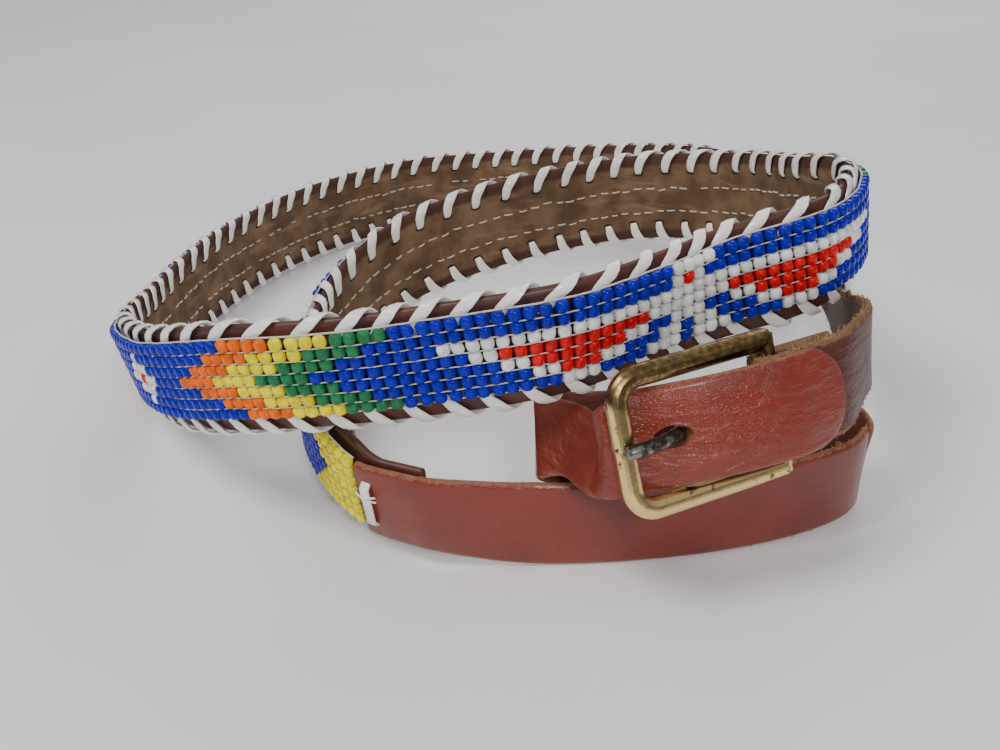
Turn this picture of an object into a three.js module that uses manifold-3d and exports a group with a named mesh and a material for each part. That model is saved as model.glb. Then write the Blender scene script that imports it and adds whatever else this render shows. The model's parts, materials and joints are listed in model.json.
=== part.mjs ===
// A beaded leather belt, coiled on a flat surface with its buckle fastened.
// Millimetres, +Z up, +X to the right and +Y away from the side with the buckle.
// The belt travels anticlockwise seen from above, so its bead side always faces out of the coil.

import * as THREE from 'three';
import { mergeVertices } from 'three/addons/utils/BufferGeometryUtils.js';
import Module from 'manifold-3d';

const wasm = await Module();
wasm.setup();

// Driving dimensions: the coil
const coilWidth = 180;
const coilDepth = 210;
const seatGap = 0.35;

// The beaded band
const bandWidth = 25;
const bandWall = 2.1;
const beadRows = 7;
const beadRowPitch = 2.65;
const beadDepth = 2.5;
const beadEdgeRound = 0.7;
const beadRise = 1.6;
const laceWall = 0.85;
const laceReach = 5.2;
const laceEndSetback = 3;

// The plain straps
const strapWidth = 20;
const strapWall = 2.2;
const jointLength = 13;
const tipLength = 9;
const foldCurl = 6;
const foldCurlReach = 15;

// The lace ties that hold the straps on the band
const tieWidth = 2.3;
const tieSpan = 9;
const tieSetback = 3.2;
const tieClearance = 0.45;

// The buckle
const buckleHeight = 30;
const buckleLength = 37;
const buckleCorner = 7;
const barWidth = 4.3;
const barDepth = 3.2;
const hingeDiameter = 3.2;
const prongDiameter = 2.7;
const prongHoleLength = 7;
const prongHoleHeight = 4.4;
const prongHoleFromHinge = 23.6;
const buckleYaw = 24;
const buckleTilt = 21;
const buckleRoll = 4;

// How finely the long pieces are stepped
const longStep = 9.5;
const turnStep = 20;
const leanStep = 5;
const facesAcross = 3;

// Each row is one place of the band's lower edge. x and y are shares of the coil's width and depth.
// onBand and onStrap say how far the edge is lifted, in band widths and strap widths.
// out is the lean of the upper edge out of the coil, in degrees.
const bandStations = [
  { x: 0.467, y: 0.324, onBand: 0, onStrap: 0.65, out: 0 },
  { x: 0.356, y: 0.467, onBand: 0, onStrap: 0.35, out: 0 },
  { x: 0.211, y: 0.533, onBand: 0, onStrap: 0.15, out: 0 },
  { x: 0.017, y: 0.548, onBand: 0, onStrap: 0, out: 1 },
  { x: -0.167, y: 0.502, onBand: 0, onStrap: 0, out: 1 },
  { x: -0.333, y: 0.385, onBand: 0, onStrap: 0, out: 0 },
  { x: -0.444, y: 0.229, onBand: 0, onStrap: 0, out: 0 },
  { x: -0.494, y: 0.071, onBand: 0, onStrap: 0, out: 3 },
  { x: -0.500, y: -0.071, onBand: 0.02, onStrap: 0, out: 9 },
  { x: -0.467, y: -0.210, onBand: 0.27, onStrap: 0, out: 14 },
  { x: -0.383, y: -0.326, onBand: 0.60, onStrap: 0, out: 11 },
  { x: -0.250, y: -0.412, onBand: 1.02, onStrap: 0, out: 6 },
  { x: -0.089, y: -0.429, onBand: 0.47, onStrap: 0.94, out: 5 },
  { x: 0.067, y: -0.429, onBand: 0, onStrap: 1.79, out: 4 },
  { x: 0.233, y: -0.352, onBand: 0, onStrap: 1.94, out: 1 },
  { x: 0.378, y: -0.314, onBand: 0, onStrap: 2.17, out: -4 },
  { x: 0.447, y: -0.233, onBand: 0, onStrap: 2.17, out: -8 },
  { x: 0.461, y: -0.167, onBand: 0, onStrap: 2.12, out: -8 },
  { x: 0.431, y: -0.081, onBand: 0, onStrap: 1.86, out: -4 },
  { x: 0.367, y: 0.052, onBand: 0, onStrap: 1.50, out: 0 },
  { x: 0.222, y: 0.124, onBand: 0, onStrap: 1.25, out: 0 },
  { x: 0.028, y: 0.086, onBand: 0, onStrap: 1.05, out: 0 },
  { x: -0.144, y: 0.033, onBand: 0, onStrap: 0.63, out: 1 },
  { x: -0.236, y: -0.062, onBand: 0, onStrap: 0.18, out: 3 },
  { x: -0.253, y: -0.181, onBand: 0, onStrap: 0, out: 5 },
  { x: -0.239, y: -0.262, onBand: 0, onStrap: 0, out: 6 },
  { x: -0.217, y: -0.329, onBand: 0.04, onStrap: 0, out: 2 },
  { x: -0.181, y: -0.381, onBand: 0.02, onStrap: 0, out: 8 },
  { x: -0.139, y: -0.420, onBand: 0, onStrap: 0, out: 12 },
  { x: -0.078, y: -0.448, onBand: 0, onStrap: 0, out: 10 },
];

// The tongue from the band's front end, round its fold at the right and back to its fold at the left.
// back is the lean of the upper edge towards +Y, in degrees.
const tongueStations = [
  { x: 0.028, y: -0.464, onStrap: 0.02, back: 0 },
  { x: 0.211, y: -0.451, onStrap: 0, back: 0 },
  { x: 0.361, y: -0.414, onStrap: 0, back: 0 },
  { x: 0.436, y: -0.374, onStrap: 0, back: 0 },
  { x: 0.453, y: -0.344, onStrap: 0, back: 0 },
  { x: 0.428, y: -0.317, onStrap: 0.08, back: 4 },
  { x: 0.333, y: -0.335, onStrap: 0.23, back: 14 },
  { x: 0.211, y: -0.381, onStrap: 0.45, back: 28 },
  { x: 0.125, y: -0.426, onStrap: 0.71, back: 42 },
  { x: 0.070, y: -0.446, onStrap: 0.84, back: 48 },
  { x: 0.046, y: -0.460, onStrap: 0.99, back: 48 },
  { x: 0.069, y: -0.473, onStrap: 1.13, back: 48 },
  { x: 0.100, y: -0.514, onStrap: 1.16, back: 44 },
];

// The buckle's strap from beneath the tongue's tip, round its curl at the right to the band's back end.
const tabStations = [
  { x: 0.425, y: -0.390, onStrap: 1.55, back: 15 },
  { x: 0.450, y: -0.343, onStrap: 1.42, back: 8, out: -10 },
  { x: 0.464, y: -0.286, onStrap: 1.22, out: -14 },
  { x: 0.472, y: -0.200, onStrap: 1.09, out: -8 },
  { x: 0.497, y: -0.048, onStrap: 0.94 },
  { x: 0.508, y: 0.119, onStrap: 0.79 },
  { x: 0.497, y: 0.240, onStrap: 0.72 },
];

const hingePlace = { x: 0.297, y: -0.468, onStrap: 1.98 };

const radians = THREE.MathUtils.degToRad;
const vector = (x, y, z) => new THREE.Vector3(x, y, z);

// Lift that stands a leaning wall on its lowest corner.
function standing(lean, halfWall, below) {
  return below * Math.cos(lean) + halfWall * Math.sin(Math.abs(lean));
}

// Turns a row of a table into a place and a wish for the upward direction.
function station(row, halfWall, below) {
  const out = radians(row.out ?? 0);
  const back = radians(row.back ?? 0);
  const lift = (row.onBand ?? 0) * bandWidth + (row.onStrap ?? 0) * strapWidth;
  const z = lift + standing(Math.hypot(out, back), halfWall, below);
  return { place: vector(row.x * coilWidth, row.y * coilDepth, z), out, back };
}

// The upward direction of a station, from its leans or as given.
function upward(one, tangent) {
  if (one.up) return one.up.clone();
  const outward = vector(tangent.y, -tangent.x, 0).normalize();
  return vector(0, Math.tan(one.back), 1).addScaledVector(outward, Math.tan(one.out)).normalize();
}

// Steps along the stations and returns the wall's frames: place, up, outward and distance.
// The first and last stations can be left out of the frames and then only steer the ends.
function ribbon(stations, { steered = 0, steering = 0 } = {}) {
  const curve = new THREE.CatmullRomCurve3(stations.map((one) => one.place), false, 'centripetal');
  const last = stations.length - 1;
  const ups = stations.map((one, i) => upward(one, curve.getTangent(i / last)));
  const frames = [];
  for (let i = steered; i < last - steering; i++) {
    const from = curve.getTangent(i / last);
    const to = curve.getTangent((i + 1) / last);
    const length = stations[i].place.distanceTo(stations[i + 1].place);
    const turned = THREE.MathUtils.radToDeg(from.angleTo(to));
    const leant = THREE.MathUtils.radToDeg(ups[i].angleTo(ups[i + 1]));
    const steps = Math.max(
      1, Math.ceil(length / longStep), Math.ceil(turned / turnStep), Math.ceil(leant / leanStep),
    );
    for (let k = i === steered ? 0 : 1; k <= steps; k++) {
      const share = k / steps;
      const tangent = curve.getTangent((i + share) / last);
      const up = ups[i].clone().lerp(ups[i + 1], share);
      up.addScaledVector(tangent, -up.dot(tangent)).normalize();
      frames.push({ place: curve.getPoint((i + share) / last), up, outward: tangent.cross(up).normalize() });
    }
  }
  return measured(frames);
}

// Writes each frame's distance from the start, measured at the lower edge.
function measured(frames) {
  let distance = 0;
  return frames.map((frame, i) => {
    if (i > 0) distance += frame.place.distanceTo(frames[i - 1].place);
    return { ...frame, distance };
  });
}

// A frame at any distance, halfway values taken straight between its neighbours.
function frameAt(frames, distance) {
  const i = Math.min(frames.length - 1, Math.max(1, frames.findIndex((one) => one.distance >= distance)));
  const [from, to] = [frames[i - 1], frames[i]];
  const share = (distance - from.distance) / (to.distance - from.distance);
  return {
    place: from.place.clone().lerp(to.place, share),
    up: from.up.clone().lerp(to.up, share).normalize(),
    outward: from.outward.clone().lerp(to.outward, share).normalize(),
    distance,
  };
}

// The frames between two distances, with one added at each end and at each extra distance.
function stretch(frames, start, end, extras = []) {
  const marks = [start, end, ...extras];
  const near = (one) => marks.every((mark) => Math.abs(one.distance - mark) > 0.4);
  const inside = frames.filter((one) => one.distance > start && one.distance < end && near(one));
  return [...inside, ...marks.map((mark) => frameAt(frames, mark))].sort((a, b) => a.distance - b.distance);
}

// A point of a frame, n outward and h up from the lower edge.
function at(frame, n, h) {
  return frame.place.clone().addScaledVector(frame.outward, n).addScaledVector(frame.up, h);
}

// Sweeps rings of equal size into one closed body. A ring goes anticlockwise seen against the travel.
function sweep(rings, closed = false) {
  const size = rings[0].length;
  const positions = rings.flat().flatMap((p) => [p.x, p.y, p.z]);
  const index = [];
  const spans = closed ? rings.length : rings.length - 1;
  for (let i = 0; i < spans; i++) {
    const next = (i + 1) % rings.length;
    for (let k = 0; k < size; k++) {
      const side = (k + 1) % size;
      const [a, b, c, d] = [i * size + k, i * size + side, next * size + side, next * size + k];
      index.push(a, b, c, a, c, d);
    }
  }
  if (!closed) {
    const cap = (ring, offset, flip) => {
      const centre = ring.reduce((sum, p) => sum.add(p), vector(0, 0, 0)).divideScalar(size);
      const across = ring[1].clone().sub(ring[0]).normalize();
      const normal = vector(0, 0, 0);
      ring.forEach((p, k) => {
        const a = p.clone().sub(centre);
        normal.add(a.cross(ring[(k + 1) % size].clone().sub(centre)));
      });
      const along = normal.normalize().clone().cross(across).normalize();
      const flat = ring.map((p) => {
        const d = p.clone().sub(centre);
        return new THREE.Vector2(d.dot(across), d.dot(along));
      });
      for (const [a, b, c] of THREE.ShapeUtils.triangulateShape(flat, [])) {
        index.push(...(flip ? [offset + a, offset + c, offset + b] : [offset + a, offset + b, offset + c]));
      }
    };
    cap(rings[0], 0, true);
    cap(rings[rings.length - 1], (rings.length - 1) * size, false);
  }
  const geometry = new THREE.BufferGeometry();
  geometry.setAttribute('position', new THREE.Float32BufferAttribute(positions, 3));
  geometry.setIndex(index);
  return facingOut(geometry);
}

// Turns a closed body's triangles so that they face outwards.
function facingOut(geometry) {
  const p = geometry.attributes.position;
  const order = geometry.index.array;
  const corner = (k) => vector(p.getX(order[k]), p.getY(order[k]), p.getZ(order[k]));
  let volume = 0;
  for (let k = 0; k < order.length; k += 3) volume += corner(k).dot(corner(k + 1).cross(corner(k + 2)));
  if (volume < 0) {
    for (let k = 0; k < order.length; k += 3) [order[k + 1], order[k + 2]] = [order[k + 2], order[k + 1]];
  }
  return geometry;
}

// Evenly spaced heights from one to another, split into the same few faces for all long pieces.
function heights(from, to) {
  return Array.from({ length: facesAcross + 1 }, (_, k) => THREE.MathUtils.lerp(from, to, k / facesAcross));
}

// A wall of the given thickness along frames, with its lower and upper edge worked out per frame.
function wall(frames, thickness, low, high) {
  const half = thickness / 2;
  return sweep(frames.map((frame) => [
    ...heights(low(frame), high(frame)).map((h) => at(frame, half, h)),
    ...heights(high(frame), low(frame)).map((h) => at(frame, -half, h)),
  ]));
}

function toManifold(geometry) {
  const bare = geometry.clone();
  bare.deleteAttribute('normal');
  bare.deleteAttribute('uv');
  const merged = mergeVertices(bare, 1e-4);
  return new wasm.Manifold(new wasm.Mesh({
    numProp: 3,
    vertProperties: new Float32Array(merged.attributes.position.array),
    triVerts: new Uint32Array(merged.index.array),
  }));
}

function fromManifold(solid) {
  const mesh = solid.getMesh();
  const geometry = new THREE.BufferGeometry();
  geometry.setAttribute('position', new THREE.Float32BufferAttribute(mesh.vertProperties, 3));
  geometry.setIndex(new THREE.Uint32BufferAttribute(mesh.triVerts, 1));
  return geometry;
}

// Cuts closed bodies out of another.
function cut(geometry, cutters) {
  return fromManifold(cutters.reduce((solid, one) => solid.subtract(toManifold(one)), toManifold(geometry)));
}

// The buckle's own directions: along from the hinge to the free bar, rise up the hinge, face outwards.
const yaw = radians(buckleYaw);
const tilt = radians(buckleTilt);
const along = vector(-Math.cos(yaw), -Math.sin(yaw), -Math.sin(radians(buckleRoll))).normalize();
const rise = vector(0, Math.sin(tilt), Math.cos(tilt));
rise.addScaledVector(along, -rise.dot(along)).normalize();
const face = rise.clone().cross(along).normalize();
if (face.y > 0) face.negate();
const hinge = vector(hingePlace.x * coilWidth, hingePlace.y * coilDepth, hingePlace.onStrap * strapWidth);

// A point of the buckle: u from the hinge to the free bar, v up from its middle, n outwards.
function onBuckle(u, v, n) {
  return hinge.clone().addScaledVector(along, u).addScaledVector(rise, v).addScaledVector(face, n);
}

// A strap's station on the buckle, its lower edge half a width below the middle.
function buckleStation(u, n) {
  return { place: onBuckle(u, -strapWidth / 2, n), up: rise };
}

const reach = buckleLength - hingeDiameter / 2 - barWidth / 2;
const behindBar = -(barDepth / 2 + seatGap + strapWall / 2);
const roundHinge = hingeDiameter / 2 + seatGap + strapWall / 2;
const overHinge = roundHinge + strapWall + seatGap;

// The band and what is on it
const bandBelow = laceWall + seatGap;
const bandHalf = bandWall / 2 + seatGap + laceWall;
const bandFrames = ribbon(bandStations.map((row) => station(row, bandHalf, bandBelow)));
const bandLength = bandFrames[bandFrames.length - 1].distance;
const jointStart = jointLength;
const jointEnd = bandLength - jointLength;
const taper = (bandWidth - strapWidth) / 2;

// How much each edge of the band draws in where it meets a strap
function drawnIn(frame) {
  const fromEnd = Math.min(frame.distance, bandLength - frame.distance);
  return taper * (1 - THREE.MathUtils.smoothstep(fromEnd, jointLength * 0.7, jointLength * 1.15));
}

const jointMarks = [0.7, 0.85, 1, 1.15].flatMap(
  (share) => [share * jointLength, bandLength - share * jointLength],
);
const plainBand = wall(stretch(bandFrames, 0, bandLength, jointMarks), bandWall, drawnIn,
  (frame) => bandWidth - drawnIn(frame));

// The woven beads: a slab that rests on the lacing at its edges and on the leather between
const stripWidth = beadRows * beadRowPitch;
const stripLow = (bandWidth - stripWidth) / 2 + beadRise;
const stripHigh = stripLow + stripWidth;
const stripBack = bandHalf + seatGap;
const leatherBack = bandWall / 2 + seatGap;
const stripFrames = stretch(bandFrames, jointStart + seatGap, jointEnd - seatGap);
const beadStrip = sweep(stripFrames.map((frame) => [
  at(frame, stripBack, stripLow), at(frame, stripBack + beadDepth - beadEdgeRound, stripLow),
  at(frame, stripBack + beadDepth, stripLow + beadEdgeRound),
  at(frame, stripBack + beadDepth, stripHigh - beadEdgeRound),
  at(frame, stripBack + beadDepth - beadEdgeRound, stripHigh), at(frame, stripBack, stripHigh),
  at(frame, stripBack, bandWidth - laceReach - seatGap),
  ...heights(bandWidth - laceReach - seatGap, laceReach + seatGap).map((h) => at(frame, leatherBack, h)),
  at(frame, stripBack, laceReach + seatGap),
]));

// The lacing: a channel over each edge, as deep as the lace reaches from the edge to its holes
const laceFrames = stretch(bandFrames, jointStart + laceEndSetback, jointEnd - laceEndSetback);
const laceInner = bandWall / 2 + seatGap;

function lacing(edge, inward) {
  const tip = edge + inward * laceReach;
  const bottom = edge - inward * seatGap;
  const crest = edge - inward * (seatGap + laceWall);
  return sweep(laceFrames.map((frame) => [
    at(frame, -bandHalf, tip), at(frame, -bandHalf, edge), at(frame, -laceInner, crest),
    at(frame, laceInner, crest), at(frame, bandHalf, edge), at(frame, bandHalf, tip),
    at(frame, laceInner, tip), at(frame, laceInner, bottom), at(frame, -laceInner, bottom),
    at(frame, -laceInner, tip),
  ]));
}

// A strap's frame laid on the bead side of the band, flush with the band's drawn-in edges
function laid(frame) {
  return { ...frame, place: at(frame, bandWall / 2 + 1.5 * seatGap + strapWall / 2, taper) };
}

const onBand = (distance) => laid(frameAt(bandFrames, distance));
const laidFrames = (start, end) => stretch(bandFrames, start, end).map(laid);

// The tongue: from the band's front end to its rounded tip beyond the hinge
const strapHalf = strapWall / 2;
const tonguePath = [
  onBand(bandLength - jointLength / 3),
  onBand(bandLength),
  ...tongueStations.map((row) => station(row, strapHalf, 0)),
  buckleStation(reach + barWidth * 0.3, behindBar - seatGap),
  buckleStation(reach - barWidth * 0.6, behindBar),
  buckleStation(reach * 0.70, strapWall * 0.2),
  buckleStation(reach * 0.45, strapWall * 1.6),
  buckleStation(0, overHinge + strapHalf * 0.2),
  buckleStation(-prongHoleLength, overHinge * 0.85),
  buckleStation(-strapWidth * 0.66, overHinge * 0.62),
];
const tongueFrames = measured([
  ...laidFrames(jointEnd, bandLength), ...ribbon(tonguePath, { steered: 1 }).slice(1),
]);
const tongueLength = tongueFrames[tongueFrames.length - 1].distance;

// The rounded tip: how far each edge draws in towards the end
function tipDrawnIn(frame) {
  const inTip = Math.max(0, frame.distance - (tongueLength - tipLength)) / tipLength;
  const half = strapWidth / 2;
  return half * 0.82 * (1 - Math.sqrt(Math.max(0, 1 - inTip * inTip)));
}

// The upper edge curls in where the folded strap passes under the band
const foldPlace = tongueStations[tongueStations.length - 1];
const foldAt = tongueFrames.reduce((best, frame) => {
  const gap = Math.hypot(frame.place.x - foldPlace.x * coilWidth, frame.place.y - foldPlace.y * coilDepth);
  return gap < best.gap ? { gap, distance: frame.distance } : best;
}, { gap: Infinity, distance: 0 }).distance - foldCurlReach / 4;

function curledIn(frame) {
  const away = Math.abs(frame.distance - foldAt) / foldCurlReach;
  return foldCurl * (1 - THREE.MathUtils.smoothstep(away, 0.25, 1));
}

const tipMarks = [0.3, 0.55, 0.75, 0.9].map((share) => tongueLength - tipLength * (1 - share));
const plainTongue = wall(stretch(tongueFrames, 0, tongueLength, tipMarks), strapWall, tipDrawnIn,
  (frame) => strapWidth - tipDrawnIn(frame) - curledIn(frame));

// The buckle's strap: from its inner end, round the hinge and on to the band's back end
const wrap = [-90, -135, 180, 135, 90].map((degrees) => {
  const angle = radians(degrees);
  return buckleStation(-Math.cos(angle) * roundHinge, Math.sin(angle) * roundHinge);
});
const tabPath = [
  buckleStation(-strapWidth * 0.85, -roundHinge - seatGap),
  buckleStation(-strapWidth * 0.4, -roundHinge - seatGap),
  ...wrap,
  buckleStation(-strapWidth * 0.4, roundHinge * 0.55),
  buckleStation(-strapWidth * 0.75, seatGap),
  ...tabStations.map((row) => station(row, strapHalf, 0)),
  onBand(0),
  onBand(jointLength / 3),
];
const tabFrames = measured([
  ...ribbon(tabPath, { steering: 1 }).slice(0, -1), ...laidFrames(0, jointStart),
]);
const plainTab = wall(tabFrames, strapWall, () => 0, () => strapWidth);

// A rounded outline of the buckle's frame as rings of its bar
function buckleRing() {
  const halfHeight = buckleHeight / 2 - barWidth / 2;
  const corner = buckleCorner - barWidth / 2;
  const outline = new THREE.Path();
  outline.moveTo(0, -halfHeight);
  outline.lineTo(reach - corner, -halfHeight);
  outline.absarc(reach - corner, -halfHeight + corner, corner, -Math.PI / 2, 0, false);
  outline.lineTo(reach, halfHeight - corner);
  outline.absarc(reach - corner, halfHeight - corner, corner, 0, Math.PI / 2, false);
  outline.lineTo(0, halfHeight);
  return outline;
}

// The section of the frame's bar: flat behind and domed in front
const barSection = [
  [-0.5, -0.28], [-0.36, -0.5], [0.36, -0.5], [0.5, -0.28], [0.5, 0.1],
  [0.36, 0.36], [0.14, 0.5], [-0.14, 0.5], [-0.36, 0.36], [-0.5, 0.1],
];

function frameBar() {
  const points = [];
  for (const part of buckleRing().curves) {
    const steps = part.isLineCurve ? 1 : 6;
    for (let k = points.length ? 1 : 0; k <= steps; k++) points.push(part.getPoint(k / steps));
  }
  return sweep(points.map((point, i) => {
    const before = points[Math.max(0, i - 1)];
    const after = points[Math.min(points.length - 1, i + 1)];
    const travel = after.clone().sub(before).normalize();
    const side = new THREE.Vector2(travel.y, -travel.x);
    return barSection.map(([across, out]) => onBuckle(point.x + side.x * across * barWidth,
      point.y + side.y * across * barWidth, out * barDepth));
  }));
}

// A straight round bar between two points
function roundBar(from, to, diameter, sides) {
  const travel = to.clone().sub(from).normalize();
  const first = face.clone().addScaledVector(travel, -face.dot(travel)).normalize();
  const second = travel.clone().cross(first);
  return sweep([from, to].map((centre) => Array.from({ length: sides }, (_, k) => {
    const angle = (2 * Math.PI * k) / sides;
    return centre.clone().addScaledVector(first, Math.cos(angle) * diameter / 2)
      .addScaledVector(second, Math.sin(angle) * diameter / 2);
  })));
}

const halfBar = buckleHeight / 2 - barWidth / 2;
const buckleFrame = fromManifold(toManifold(frameBar())
  .add(toManifold(roundBar(onBuckle(0, -halfBar - barWidth / 2, 0), onBuckle(0, halfBar + barWidth / 2, 0),
    hingeDiameter, 12))));

// The prong: looped on the hinge, behind the tongue, up through its hole and on to the free bar
const prongHalf = prongDiameter / 2;
const holeMiddle = prongHoleFromHinge;
const prongRoute = [
  { u: hingeDiameter * 0.5 + prongHalf + seatGap, n: 0, size: 1.1 },
  { u: holeMiddle * 0.42, n: -0.1 * strapWall, size: 1 },
  { u: holeMiddle * 0.8, n: -0.85 * strapWall, size: 1 },
  { u: holeMiddle, n: barDepth * 0.45, size: 1 },
  { u: reach * 0.9, n: barDepth / 2 + seatGap + prongHalf, size: 1 },
  { u: reach + barWidth * 0.35, n: barDepth / 2 + seatGap + prongHalf * 0.9, size: 0.85 },
];

function prong() {
  const places = prongRoute.map((one) => onBuckle(one.u, 0, one.n));
  const curve = new THREE.CatmullRomCurve3(places, false, 'centripetal');
  const steps = (prongRoute.length - 1) * 3;
  const rings = [];
  for (let i = 0; i <= steps; i++) {
    const share = i / steps;
    const travel = curve.getTangent(share);
    const first = rise.clone();
    const second = travel.clone().cross(first).normalize();
    const slot = Math.min(prongRoute.length - 2, Math.floor(share * (prongRoute.length - 1)));
    const local = share * (prongRoute.length - 1) - slot;
    const size = THREE.MathUtils.lerp(prongRoute[slot].size, prongRoute[slot + 1].size, local);
    rings.push(Array.from({ length: 8 }, (_, k) => {
      const angle = (2 * Math.PI * (k + 0.5)) / 8;
      return curve.getPoint(share).addScaledVector(first, Math.cos(angle) * prongHalf * size)
        .addScaledVector(second, Math.sin(angle) * prongHalf * size);
    }));
  }
  return sweep(rings);
}

// A block on the buckle, to cut the prong's hole and the slot in the strap round the hinge
function buckleBlock(u, v, n, length, height, depth) {
  return sweep([-0.5, 0.5].map((share) => Array.from({ length: 12 }, (_, k) => {
    const angle = (2 * Math.PI * (k + 0.5)) / 12;
    return onBuckle(u + Math.cos(angle) * length / 2, v + Math.sin(angle) * height / 2, n + share * depth);
  })));
}

// The lace that ties a strap to the band: a flat loop through two slots
function tieFrame(distance) {
  return frameAt(bandFrames, distance);
}

const tieFront = bandWall / 2 + strapWall + 3 * seatGap;
const tieBack = -bandWall / 2 - 1.5 * seatGap;
const tieMiddle = bandWidth / 2;

function tieRing(frame, inset) {
  const outline = [
    [tieBack - laceWall + inset, tieMiddle - tieSpan / 2 - laceWall / 2 + inset],
    [tieFront + laceWall - inset, tieMiddle - tieSpan / 2 - laceWall / 2 + inset],
    [tieFront + laceWall - inset, tieMiddle + tieSpan / 2 + laceWall / 2 - inset],
    [tieBack - laceWall + inset, tieMiddle + tieSpan / 2 + laceWall / 2 - inset],
  ];
  return outline.map(([n, h]) => at(frame, n, h));
}

function tie(distance) {
  const frame = tieFrame(distance);
  const travel = frame.up.clone().cross(frame.outward).normalize();
  const outer = tieRing(frame, 0);
  const inner = tieRing(frame, laceWall);
  const shifted = (corner, share) => corner.clone().addScaledVector(travel, share * tieWidth);
  return sweep(outer.map((corner, k) => [
    shifted(corner, -0.5), shifted(corner, 0.5), shifted(inner[k], 0.5), shifted(inner[k], -0.5),
  ]), true);
}

function tieSlots(distance) {
  const frame = tieFrame(distance);
  const travel = frame.up.clone().cross(frame.outward).normalize();
  const halfLong = tieWidth / 2 + tieClearance;
  const halfHigh = laceWall / 2 + tieClearance;
  return [-1, 1].map((side) => {
    const height = tieMiddle + side * tieSpan / 2;
    return sweep([tieBack - laceWall, tieFront + laceWall].map((n) => [
      at(frame, n, height - halfHigh).addScaledVector(travel, -halfLong),
      at(frame, n, height - halfHigh).addScaledVector(travel, halfLong),
      at(frame, n, height + halfHigh).addScaledVector(travel, halfLong),
      at(frame, n, height + halfHigh).addScaledVector(travel, -halfLong),
    ]));
  });
}

const tongueTieAt = jointEnd + tieSetback;
const tabTieAt = jointStart - tieSetback;
const slots = [...tieSlots(tongueTieAt), ...tieSlots(tabTieAt)];
const prongHole = buckleBlock(holeMiddle, 0, 0, prongHoleLength, prongHoleHeight, strapWidth);
const hingeSlotHeight = prongDiameter + 2 * tieClearance;
const hingeSlot = buckleBlock(roundHinge, 0, 0, roundHinge * 2.2, hingeSlotHeight, roundHinge * 4);

const leathers = {
  band: new THREE.MeshStandardMaterial({ color: 0x5e2a22, roughness: 0.7 }),
  tongue: new THREE.MeshStandardMaterial({ color: 0x86402e, roughness: 0.45 }),
  tab: new THREE.MeshStandardMaterial({ color: 0x6a2a20, roughness: 0.5 }),
};
const beads = new THREE.MeshStandardMaterial({ color: 0x1c35c4, roughness: 0.25 });
const lace = new THREE.MeshStandardMaterial({ color: 0xf0eeea, roughness: 0.35 });
const brass = new THREE.MeshStandardMaterial({ color: 0xc9b27a, roughness: 0.35, metalness: 1 });
const darkBrass = new THREE.MeshStandardMaterial({ color: 0x6b5f52, roughness: 0.4, metalness: 1 });

const belt = new THREE.Group();

function add(name, geometry, material) {
  const mesh = new THREE.Mesh(geometry, material);
  mesh.name = name;
  belt.add(mesh);
}

add('leather_band', cut(plainBand, slots), leathers.band);
add('bead_strip', beadStrip, beads);
add('upper_lacing', lacing(bandWidth, -1), lace);
add('lower_lacing', lacing(0, 1), lace);
add('tongue_strap', cut(plainTongue, [...slots, prongHole]), leathers.tongue);
add('buckle_strap', cut(plainTab, [...slots, hingeSlot]), leathers.tab);
add('tongue_tie', tie(tongueTieAt), lace);
add('buckle_tie', tie(tabTieAt), lace);
add('buckle_frame', buckleFrame, brass);
add('buckle_prong', prong(), darkBrass);

// The part's own frame: its origin is at the middle of the space it takes, at the height it rests on
const space = new THREE.Box3().setFromObject(belt, true);
const middle = space.getCenter(vector(0, 0, 0));
for (const mesh of belt.children) mesh.geometry.translate(-middle.x, -middle.y, -space.min.z);

export default belt;
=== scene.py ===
"""A coiled, beaded leather belt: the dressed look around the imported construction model."""

import json
import logging
import math
import random
from collections.abc import Callable, Sequence
from dataclasses import dataclass
from enum import Enum
from functools import cached_property

import bmesh
import bpy
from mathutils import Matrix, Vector

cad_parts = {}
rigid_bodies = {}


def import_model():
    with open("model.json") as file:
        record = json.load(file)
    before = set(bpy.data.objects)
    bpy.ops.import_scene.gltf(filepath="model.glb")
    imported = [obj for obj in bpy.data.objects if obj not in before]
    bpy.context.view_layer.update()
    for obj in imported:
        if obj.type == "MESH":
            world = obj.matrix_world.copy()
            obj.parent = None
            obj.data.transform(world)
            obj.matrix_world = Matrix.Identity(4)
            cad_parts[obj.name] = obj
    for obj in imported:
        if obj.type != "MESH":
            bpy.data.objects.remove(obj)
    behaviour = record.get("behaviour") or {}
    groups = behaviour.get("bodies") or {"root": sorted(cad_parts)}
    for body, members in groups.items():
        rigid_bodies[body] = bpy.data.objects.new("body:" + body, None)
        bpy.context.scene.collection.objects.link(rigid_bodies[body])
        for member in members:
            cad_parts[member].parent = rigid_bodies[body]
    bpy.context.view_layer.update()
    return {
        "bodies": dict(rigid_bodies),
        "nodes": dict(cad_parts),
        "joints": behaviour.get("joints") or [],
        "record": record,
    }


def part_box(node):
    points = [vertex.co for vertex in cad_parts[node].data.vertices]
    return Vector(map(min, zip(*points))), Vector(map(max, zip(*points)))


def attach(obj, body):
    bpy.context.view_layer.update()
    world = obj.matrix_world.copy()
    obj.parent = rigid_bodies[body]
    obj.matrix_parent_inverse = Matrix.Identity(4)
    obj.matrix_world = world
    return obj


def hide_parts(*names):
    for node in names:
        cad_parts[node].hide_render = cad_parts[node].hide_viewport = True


LOG = logging.getLogger("belt")
MM = 0.001
BODY = "root"
TIE_SETBACK = 2.0

# A direction that no strand runs in, from which a round strand's first normal is worked out
ANY_NORMAL = Vector((0.13, 0.21, 1.0))

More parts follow.
